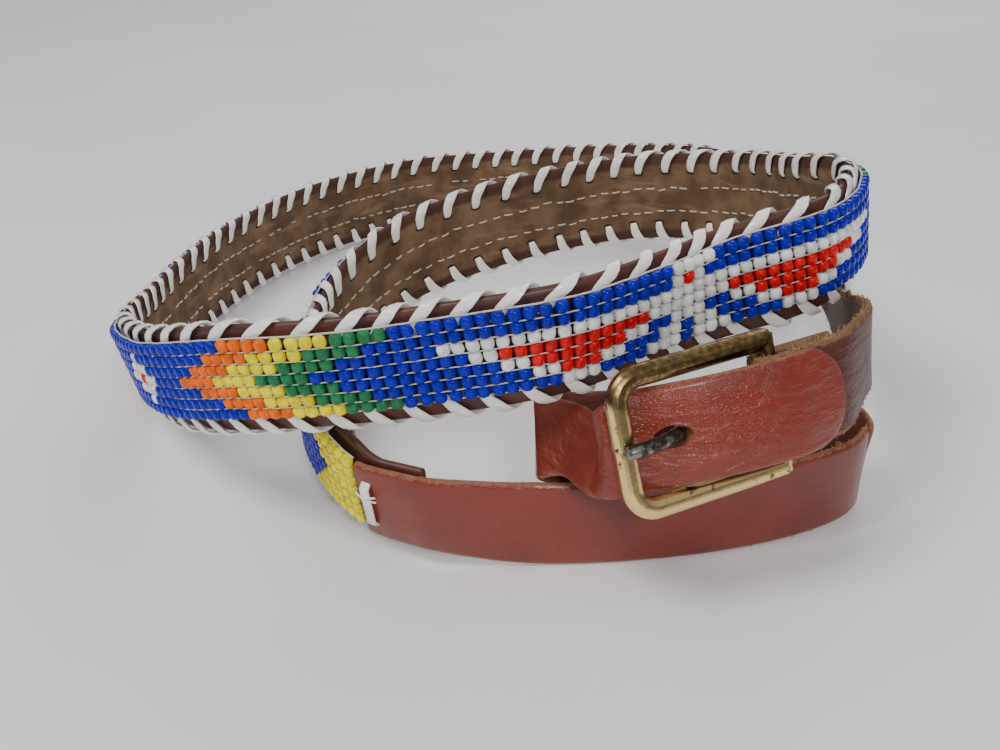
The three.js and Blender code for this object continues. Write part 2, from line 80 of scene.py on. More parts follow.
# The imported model's nodes that each piece stands for
STANDS_FOR: dict[str, tuple[str, ...]] = {
    "band_wall": ("leather_band",),
    "tongue": ("tongue_strap",),
    "buckle_tab": ("buckle_strap",),
    "upper_lace": ("upper_lacing",),
    "lower_lace": ("lower_lacing",),
    "frame": ("buckle_frame",),
    "prong": ("buckle_prong",),
    "tongue_tie_lace": ("tongue_tie",),
    "buckle_tie_lace": ("buckle_tie",),
    "beads_blue": ("bead_strip",),
    "beads_white": ("bead_strip",),
    "beads_red": ("bead_strip",),
    "beads_orange": ("bead_strip",),
    "beads_yellow": ("bead_strip",),
    "beads_green": ("bead_strip",),
}


class Bead(Enum):
    """The glass colours of the seed beads, each with its linear colour."""

    BLUE = (0.000, 0.002, 0.420)
    WHITE = (0.900, 0.920, 0.900)
    RED = (0.700, 0.004, 0.006)
    ORANGE = (0.900, 0.150, 0.001)
    YELLOW = (0.960, 0.820, 0.000)
    GREEN = (0.016, 0.200, 0.070)


@dataclass(frozen=True)
class Station:
    """One place of a strip's lower edge, with its lean.

    Args:
        x: Share of the coil's width.
        y: Share of the coil's depth.
        on_band: Lift in band widths.
        on_strap: Lift in strap widths.
        out: Lean of the upper edge out of the coil, in degrees.
        back: Lean of the upper edge towards +Y, in degrees.
    """

    x: float
    y: float
    on_band: float = 0.0
    on_strap: float = 0.0
    out: float = 0.0
    back: float = 0.0


@dataclass(frozen=True)
class Sizes:
    """The driving sizes that the belt's construction model has, in millimetres and degrees."""

    coil_width: float = 180.0
    coil_depth: float = 210.0
    gap: float = 0.35
    band_width: float = 25.0
    band_wall: float = 2.1
    bead_rows: int = 7
    bead_row_pitch: float = 2.65
    bead_rise: float = 1.6
    lace_wall: float = 0.85
    lace_setback: float = 3.0
    strap_width: float = 20.0
    strap_wall: float = 2.2
    joint_length: float = 13.0
    tip_length: float = 9.0
    fold_curl: float = 6.0
    fold_curl_reach: float = 15.0


SIZES = Sizes()


@dataclass(frozen=True)
class Frame:
    """One frame of a strip: its lower edge's place, its directions and how far along it is.

    Args:
        place: The lower edge, in millimetres.
        up: Unit vector up the strip.
        outward: Unit vector out of the coil.
        travel: Unit vector along the strip.
        distance: Length along the lower edge, in millimetres.
    """

    place: Vector
    up: Vector
    outward: Vector
    travel: Vector
    distance: float

    def at(self, outward: float, height: float, along: float = 0.0) -> Vector:
        """Returns a point off this frame, in millimetres."""
        return self.place + self.outward * outward + self.up * height + self.travel * along


@dataclass(frozen=True)
class Anchor:
    """A place on the route with its wish for the upward direction.

    Args:
        place: The lower edge, in millimetres.
        out: Lean of the upper edge out of the coil, in degrees.
        back: Lean of the upper edge towards +Y, in degrees.
        up: The upward direction itself, which then stands in for the leans.
    """

    place: Vector
    out: float = 0.0
    back: float = 0.0
    up: Vector | None = None


class Route:
    """A strip's route through its anchors, with frames at any distance."""

    STEP = 1.5

    def __init__(self, anchors: Sequence[Anchor], first: int = 0, last: int = 0) -> None:
        """Steps finely along the anchors.

        Args:
            anchors: The places that the lower edge passes.
            first: How many leading stretches only steer the start.
            last: How many closing stretches only steer the end.
        """
        self.anchors = list(anchors)
        count = len(self.anchors) - 1
        ups = [self._upward(one, self._tangent(i, 0.0)) for i, one in enumerate(self.anchors)]
        frames: list[Frame] = []
        distance = 0.0
        for i in range(first, count - last):
            length = (self.anchors[i + 1].place - self.anchors[i].place).length
            steps = max(3, math.ceil(length / self.STEP))
            for k in range(0 if i == first else 1, steps + 1):
                share = k / steps
                place = self._point(i, share)
                travel = self._tangent(i, share)
                up = ups[i].lerp(ups[i + 1], share)
                up = (up - travel * up.dot(travel)).normalized()
                if frames:
                    distance += (place - frames[-1].place).length
                frames.append(Frame(place, up, travel.cross(up).normalized(), travel, distance))
        self.frames = frames

    def _bounds(self, i: int) -> tuple[Vector, Vector, Vector, Vector]:
        """Finds the places round one stretch.

        Args:
            i: The stretch's number.

        Returns:
            The places before, at the start, at the end and after.
        """
        places = [one.place for one in self.anchors]
        last = len(places) - 1
        before = places[i - 1] if i > 0 else places[0] * 2 - places[1]
        after = places[i + 2] if i + 2 <= last else places[last] * 2 - places[last - 1]
        return before, places[i], places[i + 1], after

    def _terms(self, i: int) -> tuple[Vector, Vector, Vector, Vector]:
        """Works out the curve of one stretch, centripetal Catmull-Rom.

        Args:
            i: The stretch's number.

        Returns:
            The terms of its cubic, lowest power first.
        """
        before, start, end, after = self._bounds(i)
        spans = [math.sqrt((b - a).length) for a, b in ((before, start), (start, end), (end, after))]
        whole = (end - start) / spans[1]
        leave = (start - before) / spans[0] - (end - before) / (spans[0] + spans[1]) + whole
        reach = whole - (after - start) / (spans[1] + spans[2]) + (after - end) / spans[2]
        leave, reach = leave * spans[1], reach * spans[1]
        return start, leave, (end - start) * 3 - leave * 2 - reach, (start - end) * 2 + leave + reach

    def _point(self, i: int, share: float) -> Vector:
        """Returns the point of a stretch at a share of it."""
        a, b, c, d = self._terms(i)
        return a + b * share + c * share**2 + d * share**3

    def _tangent(self, i: int, share: float) -> Vector:
        """Finds the direction of travel on one stretch.

        Args:
            i: The stretch's number.
            share: How far along the stretch, from 0 to 1.

        Returns:
            The unit vector.
        """
        if i >= len(self.anchors) - 1:
            i, share = len(self.anchors) - 2, 1.0
        _, b, c, d = self._terms(i)
        return (b + c * 2 * share + d * 3 * share**2).normalized()

    @staticmethod
    def _upward(one: Anchor, travel: Vector) -> Vector:
        """Turns an anchor's leans into a direction.

        Args:
            one: The anchor.
            travel: The direction of travel there.

        Returns:
            The upward direction.
        """
        if one.up is not None:
            return one.up.copy()
        outward = Vector((travel.y, -travel.x, 0.0)).normalized()
        up = Vector((0.0, math.tan(math.radians(one.back)), 1.0)) + outward * math.tan(math.radians(one.out))
        return up.normalized()

    @property
    def length(self) -> float:
        """The route's length, in millimetres."""
        return self.frames[-1].distance

    def frame(self, distance: float) -> Frame:
        """Finds the frame at a distance, carried on straight past either end.

        Args:
            distance: How far along, in millimetres.

        Returns:
            The frame.
        """
        frames = self.frames
        low, high = 1, len(frames) - 1
        while low < high:
            middle = (low + high) // 2
            if frames[middle].distance < distance:
                low = middle + 1
            else:
                high = middle
        a, b = frames[low - 1], frames[low]
        share = (distance - a.distance) / (b.distance - a.distance)
        travel = a.travel.lerp(b.travel, min(1.0, max(0.0, share))).normalized()
        up = a.up.lerp(b.up, min(1.0, max(0.0, share)))
        up = (up - travel * up.dot(travel)).normalized()
        return Frame(a.place.lerp(b.place, share), up, travel.cross(up).normalized(), travel, distance)

    def spread(self, start: float, end: float, step: float) -> list[Frame]:
        """Returns evenly spaced frames from one distance to another."""
        count = max(1, round((end - start) / step))
        return [self.frame(start + (end - start) * k / count) for k in range(count + 1)]


class Coil:
    """Places the belt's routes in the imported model's own frame."""

    BAND: tuple[Station, ...] = (
        Station(0.467, 0.324, on_strap=0.65),
        Station(0.356, 0.467, on_strap=0.35),
        Station(0.211, 0.533, on_strap=0.15),
        Station(0.017, 0.548, out=1),
        Station(-0.167, 0.502, out=1),
        Station(-0.333, 0.385),
        Station(-0.444, 0.229),
        Station(-0.494, 0.071, out=3),
        Station(-0.500, -0.071, on_band=0.02, out=9),
        Station(-0.467, -0.210, on_band=0.27, out=14),
        Station(-0.383, -0.326, on_band=0.60, out=11),
        Station(-0.250, -0.412, on_band=1.02, out=6),
        Station(-0.089, -0.429, on_band=0.47, on_strap=0.94, out=5),
        Station(0.067, -0.429, on_strap=1.79, out=4),
        Station(0.233, -0.352, on_strap=1.94, out=1),
        Station(0.378, -0.314, on_strap=2.17, out=-4),
        Station(0.447, -0.233, on_strap=2.17, out=-8),
        Station(0.461, -0.167, on_strap=2.12, out=-8),
        Station(0.431, -0.081, on_strap=1.86, out=-4),
        Station(0.367, 0.052, on_strap=1.50),
        Station(0.222, 0.124, on_strap=1.25),
        Station(0.028, 0.086, on_strap=1.05),
        Station(-0.144, 0.033, on_strap=0.63, out=1),
        Station(-0.236, -0.062, on_strap=0.18, out=3),
        Station(-0.253, -0.181, out=5),
        Station(-0.239, -0.262, out=6),
        Station(-0.217, -0.329, on_band=0.04, out=2),
        Station(-0.181, -0.381, on_band=0.02, out=8),
        Station(-0.139, -0.420, out=12),
        Station(-0.078, -0.448, out=10),
    )

    def __init__(self) -> None:
        """Works out the band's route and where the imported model's origin lies."""
        s = SIZES
        half = s.band_wall / 2 + s.gap + s.lace_wall
        below = s.lace_wall + s.gap
        raw = Route([self._anchor(one, half, below, Vector()) for one in self.BAND])
        self.shift = self._shift_of(raw)
        self.band = Route([self._anchor(one, half, below, self.shift) for one in self.BAND])

    def drawn_in(self, frame: Frame) -> float:
        """Works out how far each edge of the band draws in near a strap.

        Args:
            frame: The band's frame.

        Returns:
            The distance, in millimetres.
        """
        s = SIZES
        from_end = min(frame.distance, self.band.length - frame.distance)
        narrow = (s.band_width - s.strap_width) / 2
        return narrow * (1 - smoothstep(from_end, s.joint_length * 0.7, s.joint_length * 1.15))

    def strap_anchor(self, one: Station) -> Anchor:
        """Returns the anchor of a strap's station."""
        return self._anchor(one, SIZES.strap_wall / 2, 0.0, self.shift)

    def laid(self, distance: float) -> Frame:
        """Finds a frame of a strap that lies on the bead side of the band.

        Args:
            distance: How far along the band.

        Returns:
            The frame.
        """
        s = SIZES
        frame = self.band.frame(distance)
        out = s.band_wall / 2 + 1.5 * s.gap + s.strap_wall / 2
        place = frame.at(out, (s.band_width - s.strap_width) / 2)
        return Frame(place, frame.up, frame.outward, frame.travel, distance)

    @staticmethod
    def _anchor(one: Station, half_wall: float, below: float, shift: Vector) -> Anchor:
        """Places a station so that the leaning wall stands on its lowest corner.

        Args:
            one: The station.
            half_wall: Half the thickness of what stands there.
            below: How far it reaches below the lower edge.
            shift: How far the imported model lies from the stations.

        Returns:
            Its anchor.
        """
        s = SIZES
        lean = math.hypot(math.radians(one.out), math.radians(one.back))
        lift = one.on_band * s.band_width + one.on_strap * s.strap_width
        z = lift + below * math.cos(lean) + half_wall * math.sin(lean)
        place = Vector((one.x * s.coil_width, one.y * s.coil_depth, z)) + shift
        return Anchor(place, one.out, one.back)

    @staticmethod
    def _shift_of(raw: Route) -> Vector:
        """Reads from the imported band's own box how far the model lies from the stations.

        Args:
            raw: The band's route without a shift.

        Returns:
            The shift, in millimetres.
        """
        low, high = (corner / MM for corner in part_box("leather_band"))
        half, width = SIZES.band_wall / 2, SIZES.band_width
        points = [one.at(n, h) for one in raw.frames for n in (-half, half) for h in (0.0, width)]
        shift = Vector()
        for axis in (0, 1):
            values = [one[axis] for one in points]
            shift[axis] = (low[axis] + high[axis] - min(values) - max(values)) / 2
        shift.z = high.z - max(one.z for one in points)
        return shift


class Mesher:
    """Collects faces with a place in metres and a strip coordinate, and makes one piece of them."""

    PLAIN = (0.0, 0.0, 0.0)

    def __init__(self) -> None:
        """Starts empty."""
        self.points: list[tuple[float, float, float]] = []
        self.faces: list[tuple[int, ...]] = []
        self.coords: list[tuple[float, float, float]] = []

    def point(self, place: Vector, coord: tuple[float, float, float] = PLAIN) -> int:
        """Adds a point.

        Args:
            place: The point, in millimetres.
            coord: How far along and how high up the strip it is, and 1 on the inner side or 0.

        Returns:
            The point's number.
        """
        self.points.append(tuple(place * MM))
        self.coords.append(coord)
        return len(self.points) - 1

    def rings(
        self,
        rings: Sequence[Sequence[Vector]],
        coords: Sequence[Sequence[tuple[float, float, float]]] | None = None,
        closed: bool = False,
    ) -> None:
        """Skins rings of equal size, with a flat cap at each open end.

        Args:
            rings: Points of each ring, anticlockwise seen against the travel.
            coords: The strip coordinate of each point, if any.
            closed: Whether the last ring joins the first.
        """
        size = len(rings[0])
        numbers = [
            [self.point(p, coords[i][k] if coords else self.PLAIN) for k, p in enumerate(ring)]
            for i, ring in enumerate(rings)
        ]
        for i in range(len(rings) if closed else len(rings) - 1):
            here, there = numbers[i], numbers[(i + 1) % len(rings)]
            for k in range(size):
                side = (k + 1) % size
                self.faces.append((here[k], here[side], there[side], there[k]))
        if not closed:
            self.faces.append(tuple(reversed(numbers[0])))
            self.faces.append(tuple(numbers[-1]))

    def piece(self, name: str, smooth_angle: float = 40.0) -> bpy.types.Object:
        """Makes the mesh with its coordinates as the piece's own UV map and smooths it.

        Args:
            name: The piece's name.
            smooth_angle: Edges flatter than this many degrees are shaded smooth.

        Returns:
            The new object, at the origin.
        """
        mesh = bpy.data.meshes.new(name)
        mesh.from_pydata(self.points, [], self.faces)
        layer = mesh.uv_layers.new(name="strip")
        for loop in mesh.loops:
            layer.data[loop.index].uv = self.coords[loop.vertex_index][:2]
        side = mesh.attributes.new("side", "FLOAT", "POINT")
        side.data.foreach_set("value", [coord[2] for coord in self.coords])
        work = bmesh.new()
        work.from_mesh(mesh)
        bmesh.ops.recalc_face_normals(work, faces=work.faces)
        work.to_mesh(mesh)
        work.free()
        piece = bpy.data.objects.new(name, mesh)
        bpy.context.scene.collection.objects.link(piece)
        select_only(piece)
        bpy.ops.object.shade_smooth_by_angle(angle=math.radians(smooth_angle))
        return piece


def select_only(piece: bpy.types.Object) -> None:
    """Makes one piece the only selected and the active one.

    Args:
        piece: The piece.
    """
    bpy.ops.object.select_all(action="DESELECT")
    piece.select_set(True)
    bpy.context.view_layer.objects.active = piece


def settle(piece: bpy.types.Object, slot: str, material: bpy.types.Material, *nodes: str) -> None:
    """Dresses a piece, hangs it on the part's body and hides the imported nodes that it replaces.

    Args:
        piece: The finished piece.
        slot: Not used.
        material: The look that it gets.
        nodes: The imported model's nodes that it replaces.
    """
    piece.data.materials.clear()
    piece.data.materials.append(material)
    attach(piece, BODY)
    if nodes:
        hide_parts(*nodes)
    LOG.info("%s: %d faces", piece.name, len(piece.data.polygons))


class Socket:
    """A shader value or link that takes part in Python expressions."""

    def __init__(self, graph: "Graph", source: bpy.types.NodeSocket | float) -> None:
        """Wraps an output socket or a plain number."""
        self.graph = graph
        self.source = source

    def _math(self, operation: str, *others: "Socket | float") -> "Socket":
        """Returns a math node's result."""
        return self.graph.add("ShaderNodeMath", {"operation": operation}, [self, *others])

    def __add__(self, other: "Socket | float") -> "Socket":
        """Returns the sum."""
        return self._math("ADD", other)

    def __mul__(self, other: "Socket | float") -> "Socket":
        """Returns the product."""
        return self._math("MULTIPLY", other)

    def __sub__(self, other: "Socket | float") -> "Socket":
        """Returns the difference."""
        return self._math("SUBTRACT", other)

    def __rsub__(self, other: "Socket | float") -> "Socket":
        """Returns the difference the other way round."""
        return self._math("MULTIPLY", -1.0)._math("ADD", other)

    def __truediv__(self, other: "Socket | float") -> "Socket":
        """Returns the quotient."""
        return self._math("DIVIDE", other)

    def band(self, low: float, high: float) -> "Socket":
        """Maps the value to a smooth step, rising where low is under high and falling where it isn't.

        Args:
            low: Where the step is 0.
            high: Where the step is 1.

        Returns:
            The step.
        """
        rising = low < high
        limits = {1: low, 2: high} if rising else {1: high, 2: low}
        settings = {"interpolation_type": "SMOOTHSTEP"}
        share = self.graph.add("ShaderNodeMapRange", settings, {0: self, **limits, 3: 0.0, 4: 1.0})
        return share if rising else 1.0 - share

    def least(self, other: "Socket | float") -> "Socket":
        """Returns the smaller value."""
        return self._math("MINIMUM", other)

    def most(self, other: "Socket | float") -> "Socket":
        """Returns the larger value."""
        return self._math("MAXIMUM", other)

    def rest(self, step: float) -> "Socket":
        """Returns what is left of the value after whole steps."""
        return self._math("FLOORED_MODULO", step)


class Graph:
    """A material's node graph with one Principled surface."""

    def __init__(
        self,
        name: str,
        metallic: float = 0.0,
        coat: float = 0.0,
        coat_roughness: float = 0.1,
    ) -> None:
        """Makes the material and sets what is the same all over the surface.

        Args:
            name: The material's name.
            metallic: How metallic it is.
            coat: Weight of a clear coat.
            coat_roughness: Roughness of that coat.
        """
        self.material = bpy.data.materials.new(name)
        self.material.use_nodes = True
        self.nodes = self.material.node_tree.nodes
        self.links = self.material.node_tree.links
        self.surface = self.nodes["Principled BSDF"]
        self.surface.inputs["Metallic"].default_value = metallic
        self.surface.inputs["Coat Weight"].default_value = coat
        self.surface.inputs["Coat Roughness"].default_value = coat_roughness

    def put(self, target: bpy.types.NodeSocket, value: object) -> None:
        """Links or sets one input socket.

        Args:
            target: The input.
            value: A value or a link.
        """
        if isinstance(value, Socket):
            value = value.source
        if isinstance(value, bpy.types.NodeSocket):
            self.links.new(value, target)
        else:
            target.default_value = value

    def add(self, kind: str, settings: dict[str, object], values: object, output: int | str = 0) -> Socket:
        """Adds one node.

        Args:
            kind: The node's type name.
            settings: Its properties, set first. "stops" are a colour ramp's places and colours.
            values: Its inputs' values or links, in order or by number or name.
            output: The output that is wanted.

        Returns:
            That output, ready for expressions.
        """
        node = self.nodes.new(kind)
        for key, value in settings.items():
            if key == "stops":
                ramp = node.color_ramp.elements
                while len(ramp) < len(value):
                    ramp.new(1.0)
                for element, (place, colour) in zip(ramp, value):
                    element.position = place
                    element.color = (*colour, 1.0)
            else:
                setattr(node, key, value)
        pairs = values.items() if isinstance(values, dict) else enumerate(values)
        for key, value in pairs:
            self.put(node.inputs[key], value)
        return Socket(self, node.outputs[output])

    def mix(self, share: Socket | float, low: object, high: object) -> Socket:
        """Returns a colour between two colours."""
        colours = [(*c, 1.0) if isinstance(c, tuple) and len(c) == 3 else c for c in (low, high)]
        return self.add("ShaderNodeMix", {"data_type": "RGBA"}, {0: share, 6: colours[0], 7: colours[1]}, 2)

    def noise(
        self,
        scale: float,
        detail: float = 3.0,
        stretch: tuple[float, float, float] | None = None,
    ) -> Socket:
        """Adds noise on the piece's own coordinates, whose middle is a half.

        Args:
            scale: Size in marks per metre.
            detail: How many finer layers it has.
            stretch: Scale along each axis, if it isn't even.

        Returns:
            The noise.
        """
        place = self.add("ShaderNodeTexCoord", {}, [], "Object")
        if stretch:
            place = self.add("ShaderNodeMapping", {}, {"Vector": place, "Scale": stretch})
        return self.add("ShaderNodeTexNoise", {}, {"Vector": place, "Scale": scale, "Detail": detail})

    def strip(self) -> tuple[Socket, Socket]:
        """Reads where on the strip a point lies.

        Returns:
            How far along and how high up, in millimetres.
        """
        uv = self.add("ShaderNodeUVMap", {"uv_map": "strip"}, [])
        along = self.add("ShaderNodeSeparateXYZ", {}, [uv], 0)
        height = self.add("ShaderNodeSeparateXYZ", {}, [uv], 1)
        return along, height

    def side(self) -> Socket:
        """Returns 1 on the strip's inner side and 0 on its outer side."""
        settings = {"attribute_name": "side", "attribute_type": "GEOMETRY"}
        return self.add("ShaderNodeAttribute", settings, [], "Fac").band(0.35, 0.65)

    def bump(self, height: Socket, strength: float, distance: float) -> None:
        """Raises the surface's relief by a value, with distance in millimetres."""
        values = {"Strength": strength, "Distance": distance * MM, "Height": height}
        self.put(self.surface.inputs["Normal"], self.add("ShaderNodeBump", {}, values))

    def dress(self, colour: object, roughness: object) -> bpy.types.Material:
        """Sets the colour and the roughness.

        Args:
            colour: The base colour.
            roughness: The roughness.

        Returns:
            The material.
        """
        colour = (*colour, 1.0) if isinstance(colour, tuple) and len(colour) == 3 else colour
        self.put(self.surface.inputs["Base Color"], colour)
        self.put(self.surface.inputs["Roughness"], roughness)
        return self.material


@dataclass(frozen=True)
class GlassFinish:
    """Glossy opaque bead glass.

    Args:
        colour: The bead's colour.
        spread: How much single beads differ in brightness.
        coat: Weight of its clear coat.
        specular: Strength of its plain highlight.
        roughness: Roughness under the coat.
    """

    colour: Bead
    spread: float = 0.25
    coat: float = 0.14
    specular: float = 0.20
    roughness: float = 0.22

    BEAD_MARKS = 420.0

    def material(self) -> bpy.types.Material:
        """Makes the glass, a little different from bead to bead.

        Returns:
            The material.
        """
        graph = Graph(f"glass_{self.colour.name.lower()}", coat=self.coat, coat_roughness=0.06)
        graph.surface.inputs["Specular IOR Level"].default_value = self.specular
        base = self.colour.value
        dull = tuple(c * (1 - self.spread) for c in base)
        share = graph.noise(self.BEAD_MARKS, 1.0).band(0.40, 0.60)
        return graph.dress(graph.mix(share, dull, base), self.roughness)


@dataclass(frozen=True)
class LeatherFinish:
    """Strap leather with a grain, worn patches and frayed tan edges.

    Args:
        name: The material's name.
        colour: The face's colour.
        dark: The colour of creases and stains.
        width: Width of the strip in millimetres, whose edges fray.
        roughness: Roughness of the face.
        coat: Weight of its polish.
        fray: How far in from the edges the tan fibres reach, in millimetres.
        cracks: How deep the creases are.
        cracked_from: Distance along the strip past which it is creased.
        relief: Height of its relief, in millimetres.
        tan: The fibres' colour.
        inside: The colour of the side that faces into the coil.
    """

    name: str
    colour: tuple[float, float, float]
    dark: tuple[float, float, float]
    width: float
    roughness: float = 0.33
    coat: float = 0.5
    fray: float = 0.5
    cracks: float = 1.0
    cracked_from: float = 0.0
    relief: float = 0.50
    tan: tuple[float, float, float] = (0.36, 0.19, 0.09)
    inside: tuple[float, float, float] = (0.110, 0.030, 0.020)

    CRACK_RUN_IN = 30.0
    EDGE_SOFTNESS = 0.25
    EDGE_WANDER = 1.6
    GRAIN_CELLS = 1500.0
    PATCH_MARKS = 45.0
    CREASE_MARKS = 150.0
    CREASE_STRETCH = (1.0, 1.0, 3.5)
    PORE_MARKS = 2600.0
    EDGE_MARKS = 700.0
    FIBRE_MARKS = 1500.0

    def material(self) -> bpy.types.Material:
        """Makes the leather.

        Returns:
            The material.
        """
        graph = Graph(self.name, coat=self.coat, coat_roughness=0.22)
        along, height = graph.strip()
        bent = along.band(self.cracked_from - self.CRACK_RUN_IN, self.cracked_from)
        patches = graph.noise(self.PATCH_MARKS, 3.0).band(0.28, 0.62)
        place = graph.add("ShaderNodeTexCoord", {}, [], "Object")
        cells = {"Vector": place, "Scale": self.GRAIN_CELLS}
        grain = graph.add("ShaderNodeTexVoronoi", {"feature": "DISTANCE_TO_EDGE"}, cells)
        creases = graph.noise(self.CREASE_MARKS, 5.0, self.CREASE_STRETCH)
        pores = graph.noise(self.PORE_MARKS, 2.0)
        wander = (graph.noise(self.EDGE_MARKS, 3.0) - 0.5) * self.EDGE_WANDER
        edge = height.least(self.width - height) + wander
        worn = edge.band(self.fray + self.EDGE_SOFTNESS, self.fray - self.EDGE_SOFTNESS)
        side = graph.side()
        face = graph.mix(patches, self.dark, graph.mix(side, self.colour, self.inside))
        fibres = graph.mix(graph.noise(self.FIBRE_MARKS, 2.0), self.dark, self.tan)
        face = graph.mix(worn, face, fibres)
        cracks = creases.band(0.42, 0.60) * (bent * self.cracks + 0.05)
        relief = grain.band(0.0, 0.25) * 0.20 + pores * 0.15 + cracks + creases * 0.5
        graph.bump(relief, 0.45, self.relief)
        graph.put(graph.surface.inputs["Coat Weight"], (1.0 - side.most(worn)) * self.coat)
        return graph.dress(face, patches * -0.10 + side.most(worn) * 0.35 + (self.roughness + 0.08))


@dataclass(frozen=True)
class SuedeFinish:
    """The band's leather: dark and smooth outside, suede inside with slits for the lace, painted as dark
    shade.

    Args:
        inside: The suede's colour.
        rubbed: The suede's colour where it is rubbed.
        margin: The smooth side's colour.
        edge: The colour of the rims and of the smooth side's dark patches.
        scuffed: The suede's colour where it is scuffed.
        slit_shade: Painted shade in the slits where the lace goes into the leather, near black.
    """

    inside: tuple[float, float, float] = (0.105, 0.055, 0.027)
    rubbed: tuple[float, float, float] = (0.210, 0.125, 0.066)
    margin: tuple[float, float, float] = (0.105, 0.022, 0.015)
    edge: tuple[float, float, float] = (0.060, 0.018, 0.012)
    scuffed: tuple[float, float, float] = (0.30, 0.19, 0.11)
    # Painted shade: near black, for the lace's slits.
    slit_shade: tuple[float, float, float] = (0.006, 0.004, 0.003)

    SLIT_HALF_LENGTH = 1.5
    SLIT_HALF_HEIGHT = 0.9
    RIM = (3.4, 2.2)
    RIM_WANDER = 1.2
    RIM_MARKS = 500.0
    NAP_MARKS = 3200.0
    CLOUD_MARKS = 130.0
    PATCH_MARKS = 160.0
    SCUFF_MARKS = 60.0
    SCUFF_STRETCH = (1.0, 1.0, 6.0)

    def _slits(self, along: Socket, height: Socket, turn: float, middle: float) -> Socket:
        """Marks the slits of one lace.

        Args:
            along: How far along the strip.
            height: How high up the strip.
            turn: Distance of the first slit.
            middle: Height of the slits.

        Returns:
            1 in a slit and 0 outside.
        """
        pitch = WhipLace.pitch
        sideways = ((along - (turn - pitch / 2)).rest(pitch) - pitch / 2) / self.SLIT_HALF_LENGTH
        upwards = (height - middle) / self.SLIT_HALF_HEIGHT
        return (sideways * sideways + upwards * upwards).band(1.2, 0.5)

    def material(self) -> bpy.types.Material:
        """Makes the leather with its two sides.

        Returns:
            The material.
        """
        graph = Graph("band_leather", coat_roughness=0.3)
        along, height = graph.strip()
        side = graph.side()
        width = SIZES.band_width
        reach = WhipLace.TURN[-1]
        upper = WhipLace.first_turn(0.0) + reach[2]
        lower = WhipLace.first_turn(WhipLace.LOWER_START) + reach[2]
        slits = self._slits(along, height, upper, width - reach[1])
        slits = slits.most(self._slits(along, height, lower, reach[1]))
        nap = graph.noise(self.NAP_MARKS, 3.0)
        cloud = graph.noise(self.CLOUD_MARKS, 4.0).band(0.35, 0.70)
        scuffs = graph.noise(self.SCUFF_MARKS, 5.0, self.SCUFF_STRETCH).band(0.55, 0.72)
        suede = graph.mix(cloud, self.inside, self.rubbed)
        suede = graph.mix(scuffs * 0.5, suede, self.scuffed)
        wander = (graph.noise(self.RIM_MARKS) - 0.5) * self.RIM_WANDER
        rim = (height.least(width - height) + wander).band(*self.RIM)
        suede = graph.mix(rim * 0.85, suede, self.edge)
        # Painted shade: the slits where the lace goes in are darkened nearly to black.
        suede = graph.mix(slits * 0.92, suede, self.slit_shade)
        smooth = graph.mix(graph.noise(self.PATCH_MARKS, 4.0).band(0.35, 0.68), self.edge, self.margin)
        graph.bump(nap * side + cloud * 0.4, 0.5, 0.3)
        graph.put(graph.surface.inputs["Coat Weight"], (1.0 - side) * 0.15)
        return graph.dress(graph.mix(side, smooth, suede), side * 0.38 + 0.50)


@dataclass(frozen=True)
class MetalFinish:
    """Worn metal with dark tarnish.

    Args:
        name: The material's name.
        bright: The metal's colour.
        stained: The tarnish's colour.
        start: Noise level where the tarnish starts to show.
        roughness: Roughness of the bright metal.
        dark_above: Height in metres above which the metal turns mostly the dark colour.
    """

    name: str
    bright: tuple[float, float, float]
    stained: tuple[float, float, float]
    start: float = 0.52
    roughness: float = 0.22
    dark_above: float = 1.0

    RAGGED = 0.012
    FADE = 0.004
    RAGGED_MARKS = 160.0
    STAIN_MARKS = 420.0
    FILM_MARKS = 900.0
    FINE_MARKS = 1400.0

    def material(self) -> bpy.types.Material:
        """Makes the metal.

        Returns:
            The material.
        """
        graph = Graph(self.name, metallic=1.0)
        place = graph.add("ShaderNodeTexCoord", {}, [], "Object")
        height = graph.add("ShaderNodeSeparateXYZ", {}, [place], 2)
        height = height + (graph.noise(self.RAGGED_MARKS, 3.0) - 0.5) * self.RAGGED
        # Above a set height the metal is mostly the dark colour.
        dark_top = height.band(self.dark_above - self.FADE, self.dark_above)
        film = graph.noise(self.FILM_MARKS, 4.0).band(0.25, 0.65) * 0.30 + 0.62
        stain = graph.noise(self.STAIN_MARKS, 5.0).band(self.start, self.start + 0.10).most(dark_top * film)
        fine = graph.noise(self.FINE_MARKS, 3.0)
        graph.bump(fine, 0.15, 0.08)
        colour = graph.mix(stain, self.bright, self.stained)
        return graph.dress(colour, stain * 0.12 + fine * 0.12 + self.roughness)


@dataclass(frozen=True)
class PlainFinish:
    """One colour with a soft variation, such as plastic lace or cotton thread.

    Args:
        name: The material's name.
        colour: Its clean colour.
        shade: Its soiled colour.
        roughness: Its roughness.
        coat: Weight of a clear coat.
        marks: How many soiled marks there are per metre.
    """

    name: str
    colour: tuple[float, float, float]
    shade: tuple[float, float, float]
    roughness: float = 0.4
    coat: float = 0.0
    marks: float = 300.0

    def material(self) -> bpy.types.Material:
        """Makes the material.

        Returns:
            The material.
        """
        graph = Graph(self.name, coat=self.coat)
        dirt = graph.noise(self.marks, 4.0).band(0.45, 0.75)
        graph.bump(graph.noise(self.marks * 3, 2.0), 0.2, 0.1)
        return graph.dress(graph.mix(dirt * 0.6, self.colour, self.shade), self.roughness)


